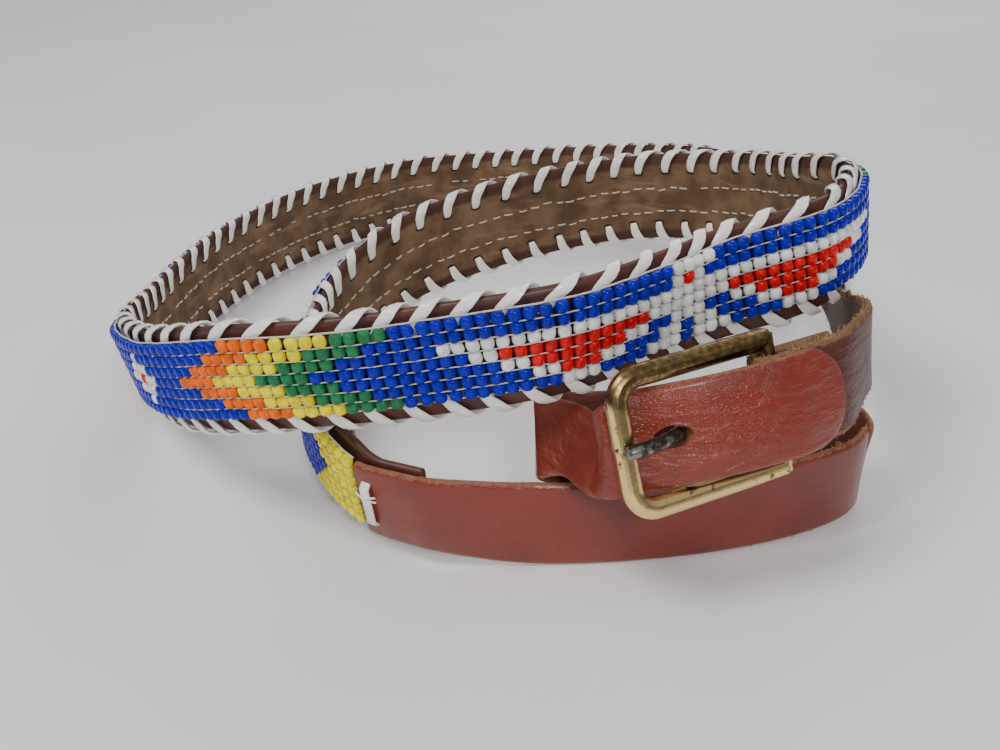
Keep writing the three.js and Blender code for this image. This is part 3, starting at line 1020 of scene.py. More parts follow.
def wall_ring(frame: Frame, wall: float, low: float, high: float) -> tuple[list[Vector], list[tuple]]:
    """Returns one ring of a leather wall with rounded edges.

    Args:
        frame: Where the ring stands.
        wall: The wall's thickness.
        low: Height of its lower edge.
        high: Height of its upper edge.

    Returns:
        The ring's points and their strip coordinates.
    """
    half = wall / 2
    rounds = ((1.0, 0.55), (0.72, 0.16), (0.35, 0.0))
    outer = [(half * n, low + wall * r) for n, r in reversed(rounds)]
    outer += [(half, low + (high - low) * share) for share in (0.35, 0.65)]
    outer += [(half * n, high - wall * r) for n, r in rounds]
    offsets = outer + [(-n, h) for n, h in reversed(outer)]
    points = [frame.at(n, h) for n, h in offsets]
    coords = [(frame.distance, h, 0.0 if n > 0 else 1.0) for n, h in offsets]
    return points, coords


def wall_piece(
    name: str,
    frames: Sequence[Frame],
    wall: float,
    low: Callable[[Frame], float],
    high: Callable[[Frame], float],
) -> bpy.types.Object:
    """Makes a strip's wall along its frames.

    Args:
        name: The piece's name.
        frames: The frames it passes.
        wall: Its thickness.
        low: Height of the lower edge at a frame.
        high: Height of the upper edge at a frame.

    Returns:
        The new object.
    """
    mesher = Mesher()
    rings = [wall_ring(frame, wall, low(frame), high(frame)) for frame in frames]
    mesher.rings([points for points, _ in rings], [coords for _, coords in rings])
    return mesher.piece(name, 50.0)


def smoothstep(value: float, low: float, high: float) -> float:
    """Returns 0 below low and 1 above high, smooth between."""
    share = min(1.0, max(0.0, (value - low) / (high - low)))
    return share * share * (3 - 2 * share)


def tube(
    mesher: Mesher,
    path: Sequence[Vector],
    radius: Callable[[float], float],
    sides: int,
    normals: Sequence[Vector] | None = None,
    flat: float = 1.0,
) -> None:
    """Adds a strand along a path.

    Args:
        mesher: What it is added to.
        path: The strand's middle, in millimetres.
        radius: Half the strand's width at a share of its length.
        sides: How many sides it has.
        normals: The flat side's direction at each point, for a flat strand.
        flat: Thickness as a share of the width.
    """
    rings = []
    coords = []
    travelled = 0.0
    previous = ANY_NORMAL
    for i, middle in enumerate(path):
        travel = (path[min(i + 1, len(path) - 1)] - path[max(i - 1, 0)]).normalized()
        normal = normals[i] if normals else previous
        normal = (normal - travel * normal.dot(travel)).normalized()
        previous = normal
        across = travel.cross(normal)
        size = radius(i / (len(path) - 1))
        travelled += (middle - path[i - 1]).length if i else 0.0
        angles = [2 * math.pi * (k + 0.5) / sides for k in range(sides)]
        rings.append([
            middle + across * (math.cos(a) * size) + normal * (math.sin(a) * size * flat) for a in angles
        ])
        coords.append([(travelled, math.degrees(a), 0.0) for a in angles])
    mesher.rings(rings, coords)


class JoinedRoute(Route):
    """A route made of frames that follow each other."""

    TOO_NEAR = 1e-4

    def __init__(self, frames: Sequence[Frame]) -> None:
        """Measures the frames anew.

        Args:
            frames: The frames, in order.
        """
        self.frames = []
        distance = 0.0
        for frame in frames:
            step = (frame.place - self.frames[-1].place).length if self.frames else 1.0
            if step < self.TOO_NEAR:
                continue
            distance += step if self.frames else 0.0
            self.frames.append(Frame(frame.place, frame.up, frame.outward, frame.travel, distance))


@dataclass
class LeatherBand:
    """The band's leather wall with its two rows of stitches.

    Args:
        coil: Where the band runs.
        stitch_rows: Heights of the stitch rows as shares of the width.
        stitch_step: From one stitch to the next.
        stitch_length: Length of a stitch.
        stitch_radius: Half a stitch's thickness.
        margin: From the joint to the first stitch.
        skipped: Share of stitches that are missing.
    """

    coil: Coil
    stitch_rows: tuple[float, ...] = (0.61, 0.33)
    stitch_step: float = 3.6
    stitch_length: float = 2.3
    stitch_radius: float = 0.24
    margin: float = 4.0
    skipped: float = 0.04

    FRAME_STEP = 1.2
    STITCH_PARTS = 5
    STITCH_BOW = 0.16
    STITCH_SUNK = 0.22

    def build(self) -> list[tuple[bpy.types.Object, str, str]]:
        """Builds the wall and the stitches.

        Returns:
            Each piece with its slot and its finish's name.
        """
        s = SIZES
        band = self.coil.band
        frames = band.spread(0.0, band.length, self.FRAME_STEP)
        wall = wall_piece("band_wall", frames, s.band_wall, self.coil.drawn_in,
                          lambda frame: s.band_width - self.coil.drawn_in(frame))
        chance = random.Random(11)
        mesher = Mesher()
        for share in self.stitch_rows:
            place = s.joint_length + self.margin
            while place < band.length - s.joint_length - self.margin:
                height = share * s.band_width + chance.gauss(0.0, 0.18)
                long = self.stitch_length * chance.uniform(0.75, 1.1)
                rise = chance.gauss(0.0, 0.15)
                path = []
                for k in range(self.STITCH_PARTS + 1):
                    part = k / self.STITCH_PARTS
                    bow = 0.05 + self.STITCH_BOW * math.sin(math.pi * part)
                    lift = s.band_wall / 2 + bow - self.STITCH_SUNK * (part in (0.0, 1.0))
                    path.append(band.frame(place + long * part).at(-lift, height + rise * part))
                if chance.random() > self.skipped:
                    tube(mesher, path, lambda share: self.stitch_radius, 6)
                place += self.stitch_step * chance.uniform(0.85, 1.15)
        stitches = mesher.piece("stitches", 70.0)
        return [(wall, "band_leather", "suede"), (stitches, "band_leather", "cotton")]


class BeadChart:
    """Which bead lies in each column and row of the weave, with row 0 at the top."""

    B, W, R, O, Y, G = Bead.BLUE, Bead.WHITE, Bead.RED, Bead.ORANGE, Bead.YELLOW, Bead.GREEN
    PERIOD = 92
    BIRD: tuple[tuple[tuple[int, int, Bead], ...], ...] = (
        ((17, 20, W),),
        ((17, 17, W), (18, 18, R), (19, 19, W)),
        ((0, 36, W),),
        ((2, 3, W), (4, 14, R), (15, 21, W), (22, 32, R), (33, 34, W)),
        ((4, 5, W), (6, 12, R), (13, 14, W), (17, 19, W), (22, 23, W), (24, 30, R), (31, 32, W)),
        (
            (6, 7, W), (8, 10, R), (11, 12, W), (16, 17, W),
            (19, 20, W), (24, 25, W), (26, 28, R), (29, 30, W),
        ),
        ((8, 10, W), (15, 17, W), (19, 21, W), (26, 28, W)),
    )
    BIRD_MIDDLE = 39
    BIRD_HALF = 18
    ARROW_SHIFT = (6, 4, 2, 0, 2, 4, 6)
    ARROW_LENGTH = 12
    ARROW_BLOCK = 4
    ARROW_MARGIN = 7
    STAR_FROM_BIRD = 46
    STAR_REACH = (-1, 0, 1, 2, 1, 0, -1)
    MIDDLE_ROW = 3
    END_BLOCK = (7, 6, 5, 4, 5, 6, 7)
    END_BLUE = 5

    def __init__(self, columns: int, arrow: int) -> None:
        """Lays the pattern out.

        Args:
            columns: How many columns the strip has.
            arrow: Column of the tip of one arrow that points to the strip's start.
        """
        self.columns = columns
        self.arrow = arrow

    def _in_period(self, row: int, column: int) -> Bead:
        """Finds a bead counted from an arrow's tip.

        Args:
            row: Its row, 0 at the top.
            column: Its column from the tip.

        Returns:
            The bead.
        """
        from_middle = column - self.BIRD_MIDDLE
        mirrored = abs(from_middle)
        if mirrored <= self.BIRD_HALF:
            for low, high, colour in self.BIRD[row]:
                if low <= from_middle + self.BIRD_HALF <= high:
                    return colour
            return self.B
        from_tip = self.BIRD_MIDDLE - mirrored
        in_arrow = from_tip - self.ARROW_SHIFT[row]
        if 0 <= in_arrow < self.ARROW_LENGTH and from_tip < self.BIRD_HALF:
            return (self.O, self.Y, self.G)[in_arrow // self.ARROW_BLOCK]
        from_star = mirrored - self.STAR_FROM_BIRD
        if abs(from_star) <= self.STAR_REACH[row]:
            return self.R if row == self.MIDDLE_ROW and from_star == 0 else self.W
        return self.B

    def bead(self, row: int, column: int) -> Bead:
        """Finds a bead of the strip.

        Args:
            row: Its row, 0 at the top.
            column: Its column, 0 at the strip's start.

        Returns:
            The bead.
        """
        left = self.columns - 1 - column
        block = self.END_BLOCK[row]
        if left < block:
            return self.Y
        if left < block + self.END_BLUE or column < self.END_BLUE:
            return self.B
        from_arrow = (column - self.arrow + self.ARROW_MARGIN) % self.PERIOD - self.ARROW_MARGIN
        return self._in_period(row, from_arrow)


@dataclass
class BeadWeave:
    """The woven strip of seed beads with its threads.

    Args:
        coil: Where the band runs.
        pitch: From one column to the next.
        length: Length of a bead along its hole.
        radius: Half a bead's width along the strip.
        depth: Half a bead's width off the strip.
        middle: How far the beads' middle stands off the band's middle.
        arrow_at: Distance along the band of the tip of one arrow.
        sides: How many sides a bead has.
    """

    coil: Coil
    pitch: float = 2.93
    length: float = 2.62
    radius: float = 1.45
    depth: float = 1.24
    middle: float = 3.46
    arrow_at: float = 353.8
    sides: int = 10

    END_GAP = 0.1
    COLUMN_LEAN = 0.05
    PLACE_SPREAD = 0.04
    HEIGHT_SPREAD = 0.03
    TIP_SPREAD = 0.05
    SMALLEST = 0.95
    MEASURE_STEP = 0.5
    THREAD_RADIUS = 0.15
    EDGE_THREAD_RADIUS = 0.22
    PROFILE = (
        (-0.5, 0.48), (-0.44, 0.74), (-0.28, 0.94), (0.0, 1.0), (0.28, 0.94), (0.44, 0.74), (0.5, 0.48),
    )

    def build(self) -> list[tuple[bpy.types.Object, str, str]]:
        """Builds one piece of beads per colour and one of threads.

        Returns:
            Each piece with its slot and its finish's name.
        """
        s = SIZES
        band = self.coil.band
        start = s.joint_length + s.gap + self.radius + self.END_GAP
        end = band.length - s.joint_length - s.gap - self.radius - self.END_GAP
        places = self._even_places(start, end)
        columns = len(places)
        chart = BeadChart(columns, min(range(columns), key=lambda k: abs(places[k] - self.arrow_at)))
        LOG.info("weave: %d columns", columns)
        chance = random.Random(5)
        meshers = {colour: Mesher() for colour in Bead}
        top = (s.band_width + s.bead_rows * s.bead_row_pitch) / 2 + s.bead_rise
        for column in range(columns):
            lean = chance.gauss(0.0, self.COLUMN_LEAN)
            for row in range(s.bead_rows):
                place = places[column] + chance.gauss(0.0, self.PLACE_SPREAD)
                place += lean * (row - s.bead_rows // 2)
                height = top - (row + 0.5) * s.bead_row_pitch + chance.gauss(0.0, self.HEIGHT_SPREAD)
                self._add_bead(meshers[chart.bead(row, column)], band.frame(place), height, chance)
        pieces = [
            (mesher.piece(f"beads_{colour.name.lower()}", 60.0), "beads", colour.name.lower())
            for colour, mesher in meshers.items()
        ]
        threads = Mesher()
        self._add_threads(threads, start - self.radius, end + self.radius, top)
        return [*pieces, (threads.piece("warp_threads", 70.0), "beads", "warp")]

    def _even_places(self, start: float, end: float) -> list[float]:
        """Spaces the columns evenly on the strip itself, which bends away from the band.

        Args:
            start: Distance along the band of the first column.
            end: Distance of the last one.

        Returns:
            The columns' distances along the band.
        """
        frames = self.coil.band.spread(start, end, self.MEASURE_STEP)
        spots = [frame.at(self.middle, SIZES.band_width / 2) for frame in frames]
        lengths = [0.0]
        for a, b in zip(spots, spots[1:]):
            lengths.append(lengths[-1] + (b - a).length)
        count = int(lengths[-1] / self.pitch) + 1
        places = []
        i = 0
        for column in range(count):
            wanted = lengths[-1] * column / (count - 1)
            while i < len(lengths) - 2 and lengths[i + 1] < wanted:
                i += 1
            share = (wanted - lengths[i]) / (lengths[i + 1] - lengths[i])
            places.append(frames[i].distance + (frames[i + 1].distance - frames[i].distance) * share)
        return places

    def _add_bead(self, mesher: Mesher, frame: Frame, height: float, chance: random.Random) -> None:
        """Adds one barrel-shaped bead whose hole runs up the band.

        Args:
            mesher: What it is added to.
            frame: The band's frame there.
            height: The height of its middle.
            chance: The random series.
        """
        size = chance.uniform(self.SMALLEST, 1.0)
        tip = chance.gauss(0.0, self.TIP_SPREAD)
        rings = []
        for share, width in self.PROFILE:
            ring = []
            for k in range(self.sides):
                angle = 2 * math.pi * k / self.sides
                off = self.middle + math.sin(angle) * self.depth * width * size
                along = math.cos(angle) * self.radius * width * size + tip * share * self.length
                ring.append(frame.at(off, height + share * self.length * size, along))
            rings.append(ring)
        mesher.rings(rings)

    def _add_threads(self, mesher: Mesher, start: float, end: float, top: float) -> None:
        """Adds the thin threads between the rows and the thicker ones along the edges.

        Args:
            mesher: What they are added to.
            start: Where they start along the band.
            end: Where they end.
            top: Height of the strip's upper edge.
        """
        s = SIZES
        chance = random.Random(8)
        frames = self.coil.band.spread(start, end, self.pitch)
        for row in range(s.bead_rows + 1):
            edge = row in (0, s.bead_rows)
            inward = (0.02 if row == 0 else -0.02) if edge else 0.0
            height = top - row * s.bead_row_pitch + inward
            radius = self.EDGE_THREAD_RADIUS if edge else self.THREAD_RADIUS
            path = [
                frame.at(self.middle - (0.55 if edge else -0.35) + chance.gauss(0.0, 0.08),
                         height + chance.gauss(0.0, 0.03))
                for frame in frames
            ]
            tube(mesher, path, lambda share, size=radius: size, 6)


@dataclass
class WhipLace:
    """The flat lace whipped over one edge of the band.

    Args:
        coil: Where the band runs.
        upper: Whether it is the upper edge's lace.
        pitch: From one turn to the next.
        width: The lace's width.
        start: Where the first turn starts, from the joint's setback.

    TURN lists one turn's points: how far out of the band's middle, how far in from its edge, how far
    along, and the direction that the lace's flat side faces, as shares of outward and of up.
    """

    coil: Coil
    upper: bool
    pitch: float = 8.05
    width: float = 2.6
    start: float = 0.0

    LOWER_START = 2.9
    HALF_HOLE = 1.8
    PLACE_SPREAD = 0.12
    LEAN_SPREAD = 0.18
    SIDES = 10
    TURN = (
        (1.72, 5.0, -0.4, (1, 0)), (1.74, 3.7, 0.2, (1, 0)), (1.76, 2.3, 1.1, (1, 0)),
        (1.74, 1.0, 2.4, (1, -0.1)), (1.52, -0.05, 3.7, (0.85, -0.55)), (0.95, -0.60, 4.5, (0.45, -0.9)),
        (0.0, -0.76, 5.2, (0, -1)), (-0.95, -0.60, 5.9, (-0.45, -0.9)), (-1.52, -0.05, 6.6, (-0.85, -0.55)),
        (-1.74, 1.0, 7.4, (-1, -0.1)), (-1.72, 2.2, 8.0, (-1, 0)), (-1.70, 3.4, 8.3, (-1, 0)),
        (-1.55, 4.3, 8.45, (-1, 0.1)), (-1.00, 4.95, 8.55, (-0.8, 0.6)),
    )

    def build(self) -> list[tuple[bpy.types.Object, str, str]]:
        """Builds the lace turn by turn.

        Returns:
            The piece with its slot and its finish's name.
        """
        s = SIZES
        band = self.coil.band
        first = self.first_turn(self.start)
        last = band.length - s.joint_length - s.lace_setback - self.HALF_HOLE
        turns = int((last - first) / self.pitch)
        chance = random.Random(21 if self.upper else 22)
        mesher = Mesher()
        for turn in range(turns):
            place = first + turn * self.pitch + chance.gauss(0.0, self.PLACE_SPREAD)
            lean = chance.gauss(0.0, self.LEAN_SPREAD)
            path = []
            normals = []
            for out, inward, along, (face, edge) in self.TURN:
                frame = band.frame(place + along + lean * (along / self.pitch - 0.5))
                height = s.band_width - inward if self.upper else inward
                path.append(frame.at(out, height))
                normals.append(frame.outward * face + frame.up * (edge if not self.upper else -edge))
            tube(mesher, path, self._half_width, self.SIDES, normals, s.lace_wall / self.width)
        name = "upper_lace" if self.upper else "lower_lace"
        return [(mesher.piece(name, 60.0), "lace", "lace")]

    @classmethod
    def first_turn(cls, start: float) -> float:
        """Returns the distance along the band where the first turn starts."""
        return SIZES.joint_length + SIZES.lace_setback + cls.HALF_HOLE + start

    def _half_width(self, share: float) -> float:
        """Returns half the lace's width, narrower where it is pulled through its slits."""
        return self.width / 2 * (1 - 0.30 * smoothstep(abs(share - 0.45), 0.30, 0.55))


@dataclass(frozen=True)
class Buckle:
    """The buckle's place and directions, and the pieces made on them.

    Args:
        coil: Gives the part's shift.
        height: Height of the frame.
        length: Length from the hinge's back to the free bar's front.
        corner: Outer radius of its corners.
        bar_width: Width of its bar.
        bar_depth: Depth of its bar.
        hinge: Diameter of the hinge bar.
        prong: Diameter of the prong.
        yaw: Turn of the frame about the vertical, in degrees.
        tilt: Lean of its hinge, in degrees.
        roll: Drop of its free bar, in degrees.
        hole_at: From the hinge to the strap's hole.
        end_round: How far the bar's rounded ends reach past the hinge.
    """

    coil: Coil
    height: float = 30.0
    length: float = 37.0
    corner: float = 7.0
    bar_width: float = 4.3
    bar_depth: float = 3.2
    hinge: float = 3.2
    prong: float = 2.7
    yaw: float = 24.0
    tilt: float = 21.0
    roll: float = 4.0
    hole_at: float = 23.6
    end_round: float = 1.5

    STRAP_SMOOTH = 40.0
    CORNER_STEPS = 12
    TOO_NEAR = 1e-3
    BAR_SIDES = 24
    PRONG_SIDES = 18
    PRONG_TIP = (0.2, 0.4, 0.6, 0.8, 0.92, 1.0)
    PLACE = (0.297, -0.468, 1.98)
    SECTION = (
        (-0.5, -0.28), (-0.36, -0.5), (0.36, -0.5), (0.5, -0.28), (0.5, 0.1),
        (0.36, 0.36), (0.14, 0.5), (-0.14, 0.5), (-0.36, 0.36), (-0.5, 0.1),
    )

    @property
    def along(self) -> Vector:
        """Direction from the hinge to the free bar."""
        yaw = math.radians(self.yaw)
        return Vector((-math.cos(yaw), -math.sin(yaw), -math.sin(math.radians(self.roll)))).normalized()

    @property
    def rise(self) -> Vector:
        """Points up the hinge.

        Returns:
            The unit vector.
        """
        tilt = math.radians(self.tilt)
        up = Vector((0.0, math.sin(tilt), math.cos(tilt)))
        return (up - self.along * up.dot(self.along)).normalized()

    @property
    def face(self) -> Vector:
        """Direction out of the buckle's front."""
        face = self.rise.cross(self.along).normalized()
        return -face if face.y > 0 else face

    @property
    def reach(self) -> float:
        """From the hinge to the middle of the free bar."""
        return self.length - self.hinge / 2 - self.bar_width / 2

    def at(self, u: float, v: float, n: float) -> Vector:
        """Finds a point of the buckle.

        Args:
            u: How far from the hinge to the free bar.
            v: How far up from its middle.
            n: How far outwards.

        Returns:
            The point, in millimetres.
        """
        x, y, on_strap = self.PLACE
        s = SIZES
        hinge = Vector((x * s.coil_width, y * s.coil_depth, on_strap * s.strap_width)) + self.coil.shift
        return hinge + self.along * u + self.rise * v + self.face * n

    def station(self, u: float, n: float) -> Anchor:
        """Returns a strap's anchor on the buckle."""
        return Anchor(self.at(u, -SIZES.strap_width / 2, n), up=self.rise)

    def build(self) -> list[tuple[bpy.types.Object, str, str]]:
        """Builds the frame with its hinge bar and the prong.

        Returns:
            Each piece with its slot and its finish's name.
        """
        frame = self._frame()
        prong = self._prong()
        return [(frame, "brass", "brass"), (prong, "prong_metal", "steel")]

    def pierce(
        self,
        strap: bpy.types.Object,
        outline: Sequence[tuple[float, float]],
        depths: tuple[float, float],
    ) -> None:
        """Cuts an opening straight through a strap that lies on the buckle.

        Args:
            strap: The strap's piece.
            outline: The opening's corners, to the free bar and up from the buckle's middle.
            depths: Where the cut starts and ends, outwards.
        """
        shape = Mesher()
        shape.rings([[self.at(u, v, n) for u, v in outline] for n in depths])
        cutter = shape.piece("cutter")
        select_only(strap)
        cut = strap.modifiers.new("cut", "BOOLEAN")
        cut.operation = "DIFFERENCE"
        cut.solver = "EXACT"
        cut.object = cutter
        bpy.ops.object.modifier_apply(modifier=cut.name)
        bpy.data.objects.remove(cutter)
        select_only(strap)
        bpy.ops.object.shade_smooth_by_angle(angle=math.radians(self.STRAP_SMOOTH))

    def _outline(self) -> list[tuple[float, float]]:
        """Works out the middle line of the frame's bar.

        Returns:
            Its points, to the free bar and up.
        """
        half = self.height / 2 - self.bar_width / 2
        corner = self.corner - self.bar_width / 2
        centre = self.reach - corner
        ends = [self.end_round * share for share in (-0.94, -0.8, -0.5)]
        points = [(end, -half) for end in ends] + [(centre * k / 4, -half) for k in range(5)]
        for side, first in ((-1, -90.0), (1, 0.0)):
            for k in range(self.CORNER_STEPS + 1):
                angle = math.radians(first + 90.0 * k / self.CORNER_STEPS)
                v = side * (half - corner) + math.sin(angle) * corner
                points.append((centre + math.cos(angle) * corner, v))
        points += [(centre * (3 - k) / 4, half) for k in range(4)] + [(end, half) for end in reversed(ends)]
        return [p for i, p in enumerate(points) if i == 0 or math.dist(p, points[i - 1]) > self.TOO_NEAR]

    def _frame(self) -> bpy.types.Object:
        """Builds the frame with its rounded ends and the hinge bar.

        Returns:
            The piece.
        """
        mesher = Mesher()
        outline = self._outline()
        rings = []
        for i, (u, v) in enumerate(outline):
            before, after = outline[max(0, i - 1)], outline[min(len(outline) - 1, i + 1)]
            travel = Vector((after[0] - before[0], after[1] - before[1])).normalized()
            side = Vector((travel.y, -travel.x))
            size = 1.0 if u > 0.0 else max(0.35, math.sqrt(max(0.0, 1 - (u / self.end_round) ** 2)))
            wide, deep = self.bar_width * size, self.bar_depth * size
            rings.append([
                self.at(u + side.x * across * wide, v + side.y * across * wide, out * deep)
                for across, out in self.SECTION
            ])
        mesher.rings(rings)
        frame = mesher.piece("frame_bar", 35.0)
        soften(frame, 0.32, 3)
        bar = Mesher()
        half = self.height / 2 - self.bar_width / 2
        ends = [self.at(0.0, side * (half + 0.25 * self.bar_width), 0.0) for side in (-1, 1)]
        path = [ends[0].lerp(ends[1], k / 6) for k in range(7)]
        tube(bar, path, lambda share: self.hinge / 2, self.BAR_SIDES)
        return joined("frame", frame, bar.piece("hinge_bar", 60.0))

    def _prong(self) -> bpy.types.Object:
        """Builds the prong, which passes behind the strap and up through its hole.

        Returns:
            The piece.
        """
        half = self.prong / 2
        front = self.bar_depth / 2 + SIZES.gap + half
        stops = (
            (self.hinge / 2 + half + SIZES.gap, 0.0, 1.1), (self.hole_at * 0.42, -0.22, 1.0),
            (self.hole_at * 0.8, -1.87, 1.0), (self.hole_at, self.bar_depth * 0.45, 1.0),
            (self.reach * 0.9, front, 1.0), (self.reach + self.bar_width * 0.35, front - half * 0.1, 0.85),
        )
        route = Route([Anchor(self.at(u, 0.0, n), up=self.rise) for u, n, _ in stops])
        frames = route.spread(0.0, route.length, 0.8)
        marks = [0.0]
        for a, b in zip(stops, stops[1:]):
            marks.append(marks[-1] + math.dist(a[:2], b[:2]))

        def radius(share: float) -> float:
            """Narrows the prong to its rounded end.

            Args:
                share: How far along the prong, from 0 to 1.

            Returns:
                Half its thickness there.
            """
            place = share * marks[-1]
            for i in range(len(stops) - 1):
                if place <= marks[i + 1] + 1e-6:
                    part = (place - marks[i]) / (marks[i + 1] - marks[i])
                    size = half * (stops[i][2] + (stops[i + 1][2] - stops[i][2]) * part)
                    break
            from_end = (1 - share) * marks[-1]
            round_end = min(1.0, from_end / half)
            return size * max(0.12, math.sqrt(1 - (1 - round_end) ** 2))

        mesher = Mesher()
        path = [frame.place for frame in frames[:-2]]
        path += [path[-1].lerp(frames[-1].place, share) for share in self.PRONG_TIP]
        tube(mesher, path, radius, self.PRONG_SIDES)
        return mesher.piece("prong", 60.0)


def soften(piece: bpy.types.Object, width: float, segments: int) -> None:
    """Rounds a piece's sharp edges.

    Args:
        piece: The piece.
        width: The rounding's width, in millimetres.
        segments: Facets of the rounding.
    """
    select_only(piece)
    bevel = piece.modifiers.new("round", "BEVEL")
    bevel.width = width * MM
    bevel.segments = segments
    bevel.angle_limit = math.radians(25)
    bpy.ops.object.modifier_apply(modifier=bevel.name)
    bpy.ops.object.shade_smooth_by_angle(angle=math.radians(50))


def joined(name: str, *pieces: bpy.types.Object) -> bpy.types.Object:
    """Joins pieces into the first one.

    Args:
        name: What the joined piece is called.
        pieces: The pieces.

    Returns:
        The joined piece.
    """
    select_only(pieces[0])
    for piece in pieces[1:]:
        piece.select_set(True)
    bpy.ops.object.join()
    pieces[0].name = name
    return pieces[0]


@dataclass
class TongueStrap:
    """The strap with the hole: from the band's front end over the buckle to its tip.

    Args:
        coil: Where the band runs.
        buckle: What it is fastened to.
    """

    coil: Coil
    buckle: Buckle

    STATIONS: tuple[Station, ...] = (
        Station(0.028, -0.464, on_strap=0.02),
        Station(0.211, -0.451),
        Station(0.361, -0.414),
        Station(0.436, -0.374),
        Station(0.453, -0.344),
        Station(0.428, -0.317, on_strap=0.08, back=4),
        Station(0.333, -0.335, on_strap=0.23, back=14),
        Station(0.211, -0.381, on_strap=0.45, back=28),
        Station(0.125, -0.426, on_strap=0.71, back=42),
        Station(0.070, -0.446, on_strap=0.84, back=48),
        Station(0.046, -0.460, on_strap=0.99, back=48),
        Station(0.069, -0.473, on_strap=1.13, back=48),
        Station(0.100, -0.514, on_strap=1.16, back=44),
    )
    FRAME_STEP = 1.1
    TIP_ROUNDING = 0.82
    TIP_SHARES = (0.15, 0.3, 0.42, 0.55, 0.65, 0.75, 0.83, 0.9, 0.95, 0.985, 1.0)
    HOLE_HALVES = (3.5, 2.2)
    HOLE_SIDES = 28
    CUT_DEPTHS = (-6.0, 8.0)

    def build(self) -> list[tuple[bpy.types.Object, str, str]]:
        """Builds the strap with its hole.

        Returns:
            The piece with its slot and its finish's name.
        """
        s = SIZES
        route = self.route
        total = route.length
        last = self.STATIONS[-1]
        fold = Vector((last.x * s.coil_width, last.y * s.coil_depth, 0.0)) + self.coil.shift
        nearest = min(route.frames, key=lambda frame: (frame.place - fold).xy.length)
        curl_at = nearest.distance - s.fold_curl_reach / 4

        def tip(frame: Frame) -> float:
            """Returns how far each edge draws in at the rounded tip."""
            share = min(1.0, max(0.0, (frame.distance - (total - s.tip_length)) / s.tip_length))
            return s.strap_width / 2 * self.TIP_ROUNDING * (1 - math.sqrt(1 - share * share))

        def high(frame: Frame) -> float:
            """Returns the height of the upper edge, which curls in at the fold."""
            away = abs(frame.distance - curl_at) / s.fold_curl_reach
            return s.strap_width - tip(frame) - s.fold_curl * (1 - smoothstep(away, 0.25, 1.0))

        frames = route.spread(0.0, total - s.tip_length, self.FRAME_STEP)
        frames += [route.frame(total - s.tip_length * (1 - share)) for share in self.TIP_SHARES]
        strap = wall_piece("tongue", frames, s.strap_wall, tip, high)
        long, high_half = self.HOLE_HALVES
        angles = [2 * math.pi * k / self.HOLE_SIDES for k in range(self.HOLE_SIDES)]
        hole = [(self.buckle.hole_at + long * math.cos(a), high_half * math.sin(a)) for a in angles]
        self.buckle.pierce(strap, hole, self.CUT_DEPTHS)
        return [(strap, "strap_leather", "tongue")]

    @cached_property
    def route(self) -> Route:
        """Lays the strap from where it lies on the band to its tip.

        Returns:
            The route.
        """
        s = SIZES
        b = self.buckle
        length = self.coil.band.length
        laid = [self.coil.laid(length - s.joint_length + k) for k in range(int(s.joint_length) + 1)]
        behind = -(b.bar_depth / 2 + s.gap + s.strap_wall / 2)
        over = b.hinge / 2 + s.gap + s.strap_wall / 2 + s.strap_wall + s.gap
        guide = self.coil.laid(length - s.joint_length / 3)
        anchors = [Anchor(guide.place, up=guide.up), Anchor(laid[-1].place, up=laid[-1].up)]
        anchors += [self.coil.strap_anchor(one) for one in self.STATIONS]
        anchors += [
            b.station(b.reach + b.bar_width * 0.3, behind - s.gap),
            b.station(b.reach - b.bar_width * 0.6, behind),
            b.station(b.reach * 0.70, s.strap_wall * 0.2),
            b.station(b.reach * 0.45, s.strap_wall * 1.6),
            b.station(0.0, over + s.strap_wall * 0.1),
            b.station(-7.0, over * 0.85),
            b.station(-s.strap_width * 0.66, over * 0.62),
        ]
        return JoinedRoute([*laid, *Route(anchors, first=1).frames[1:]])


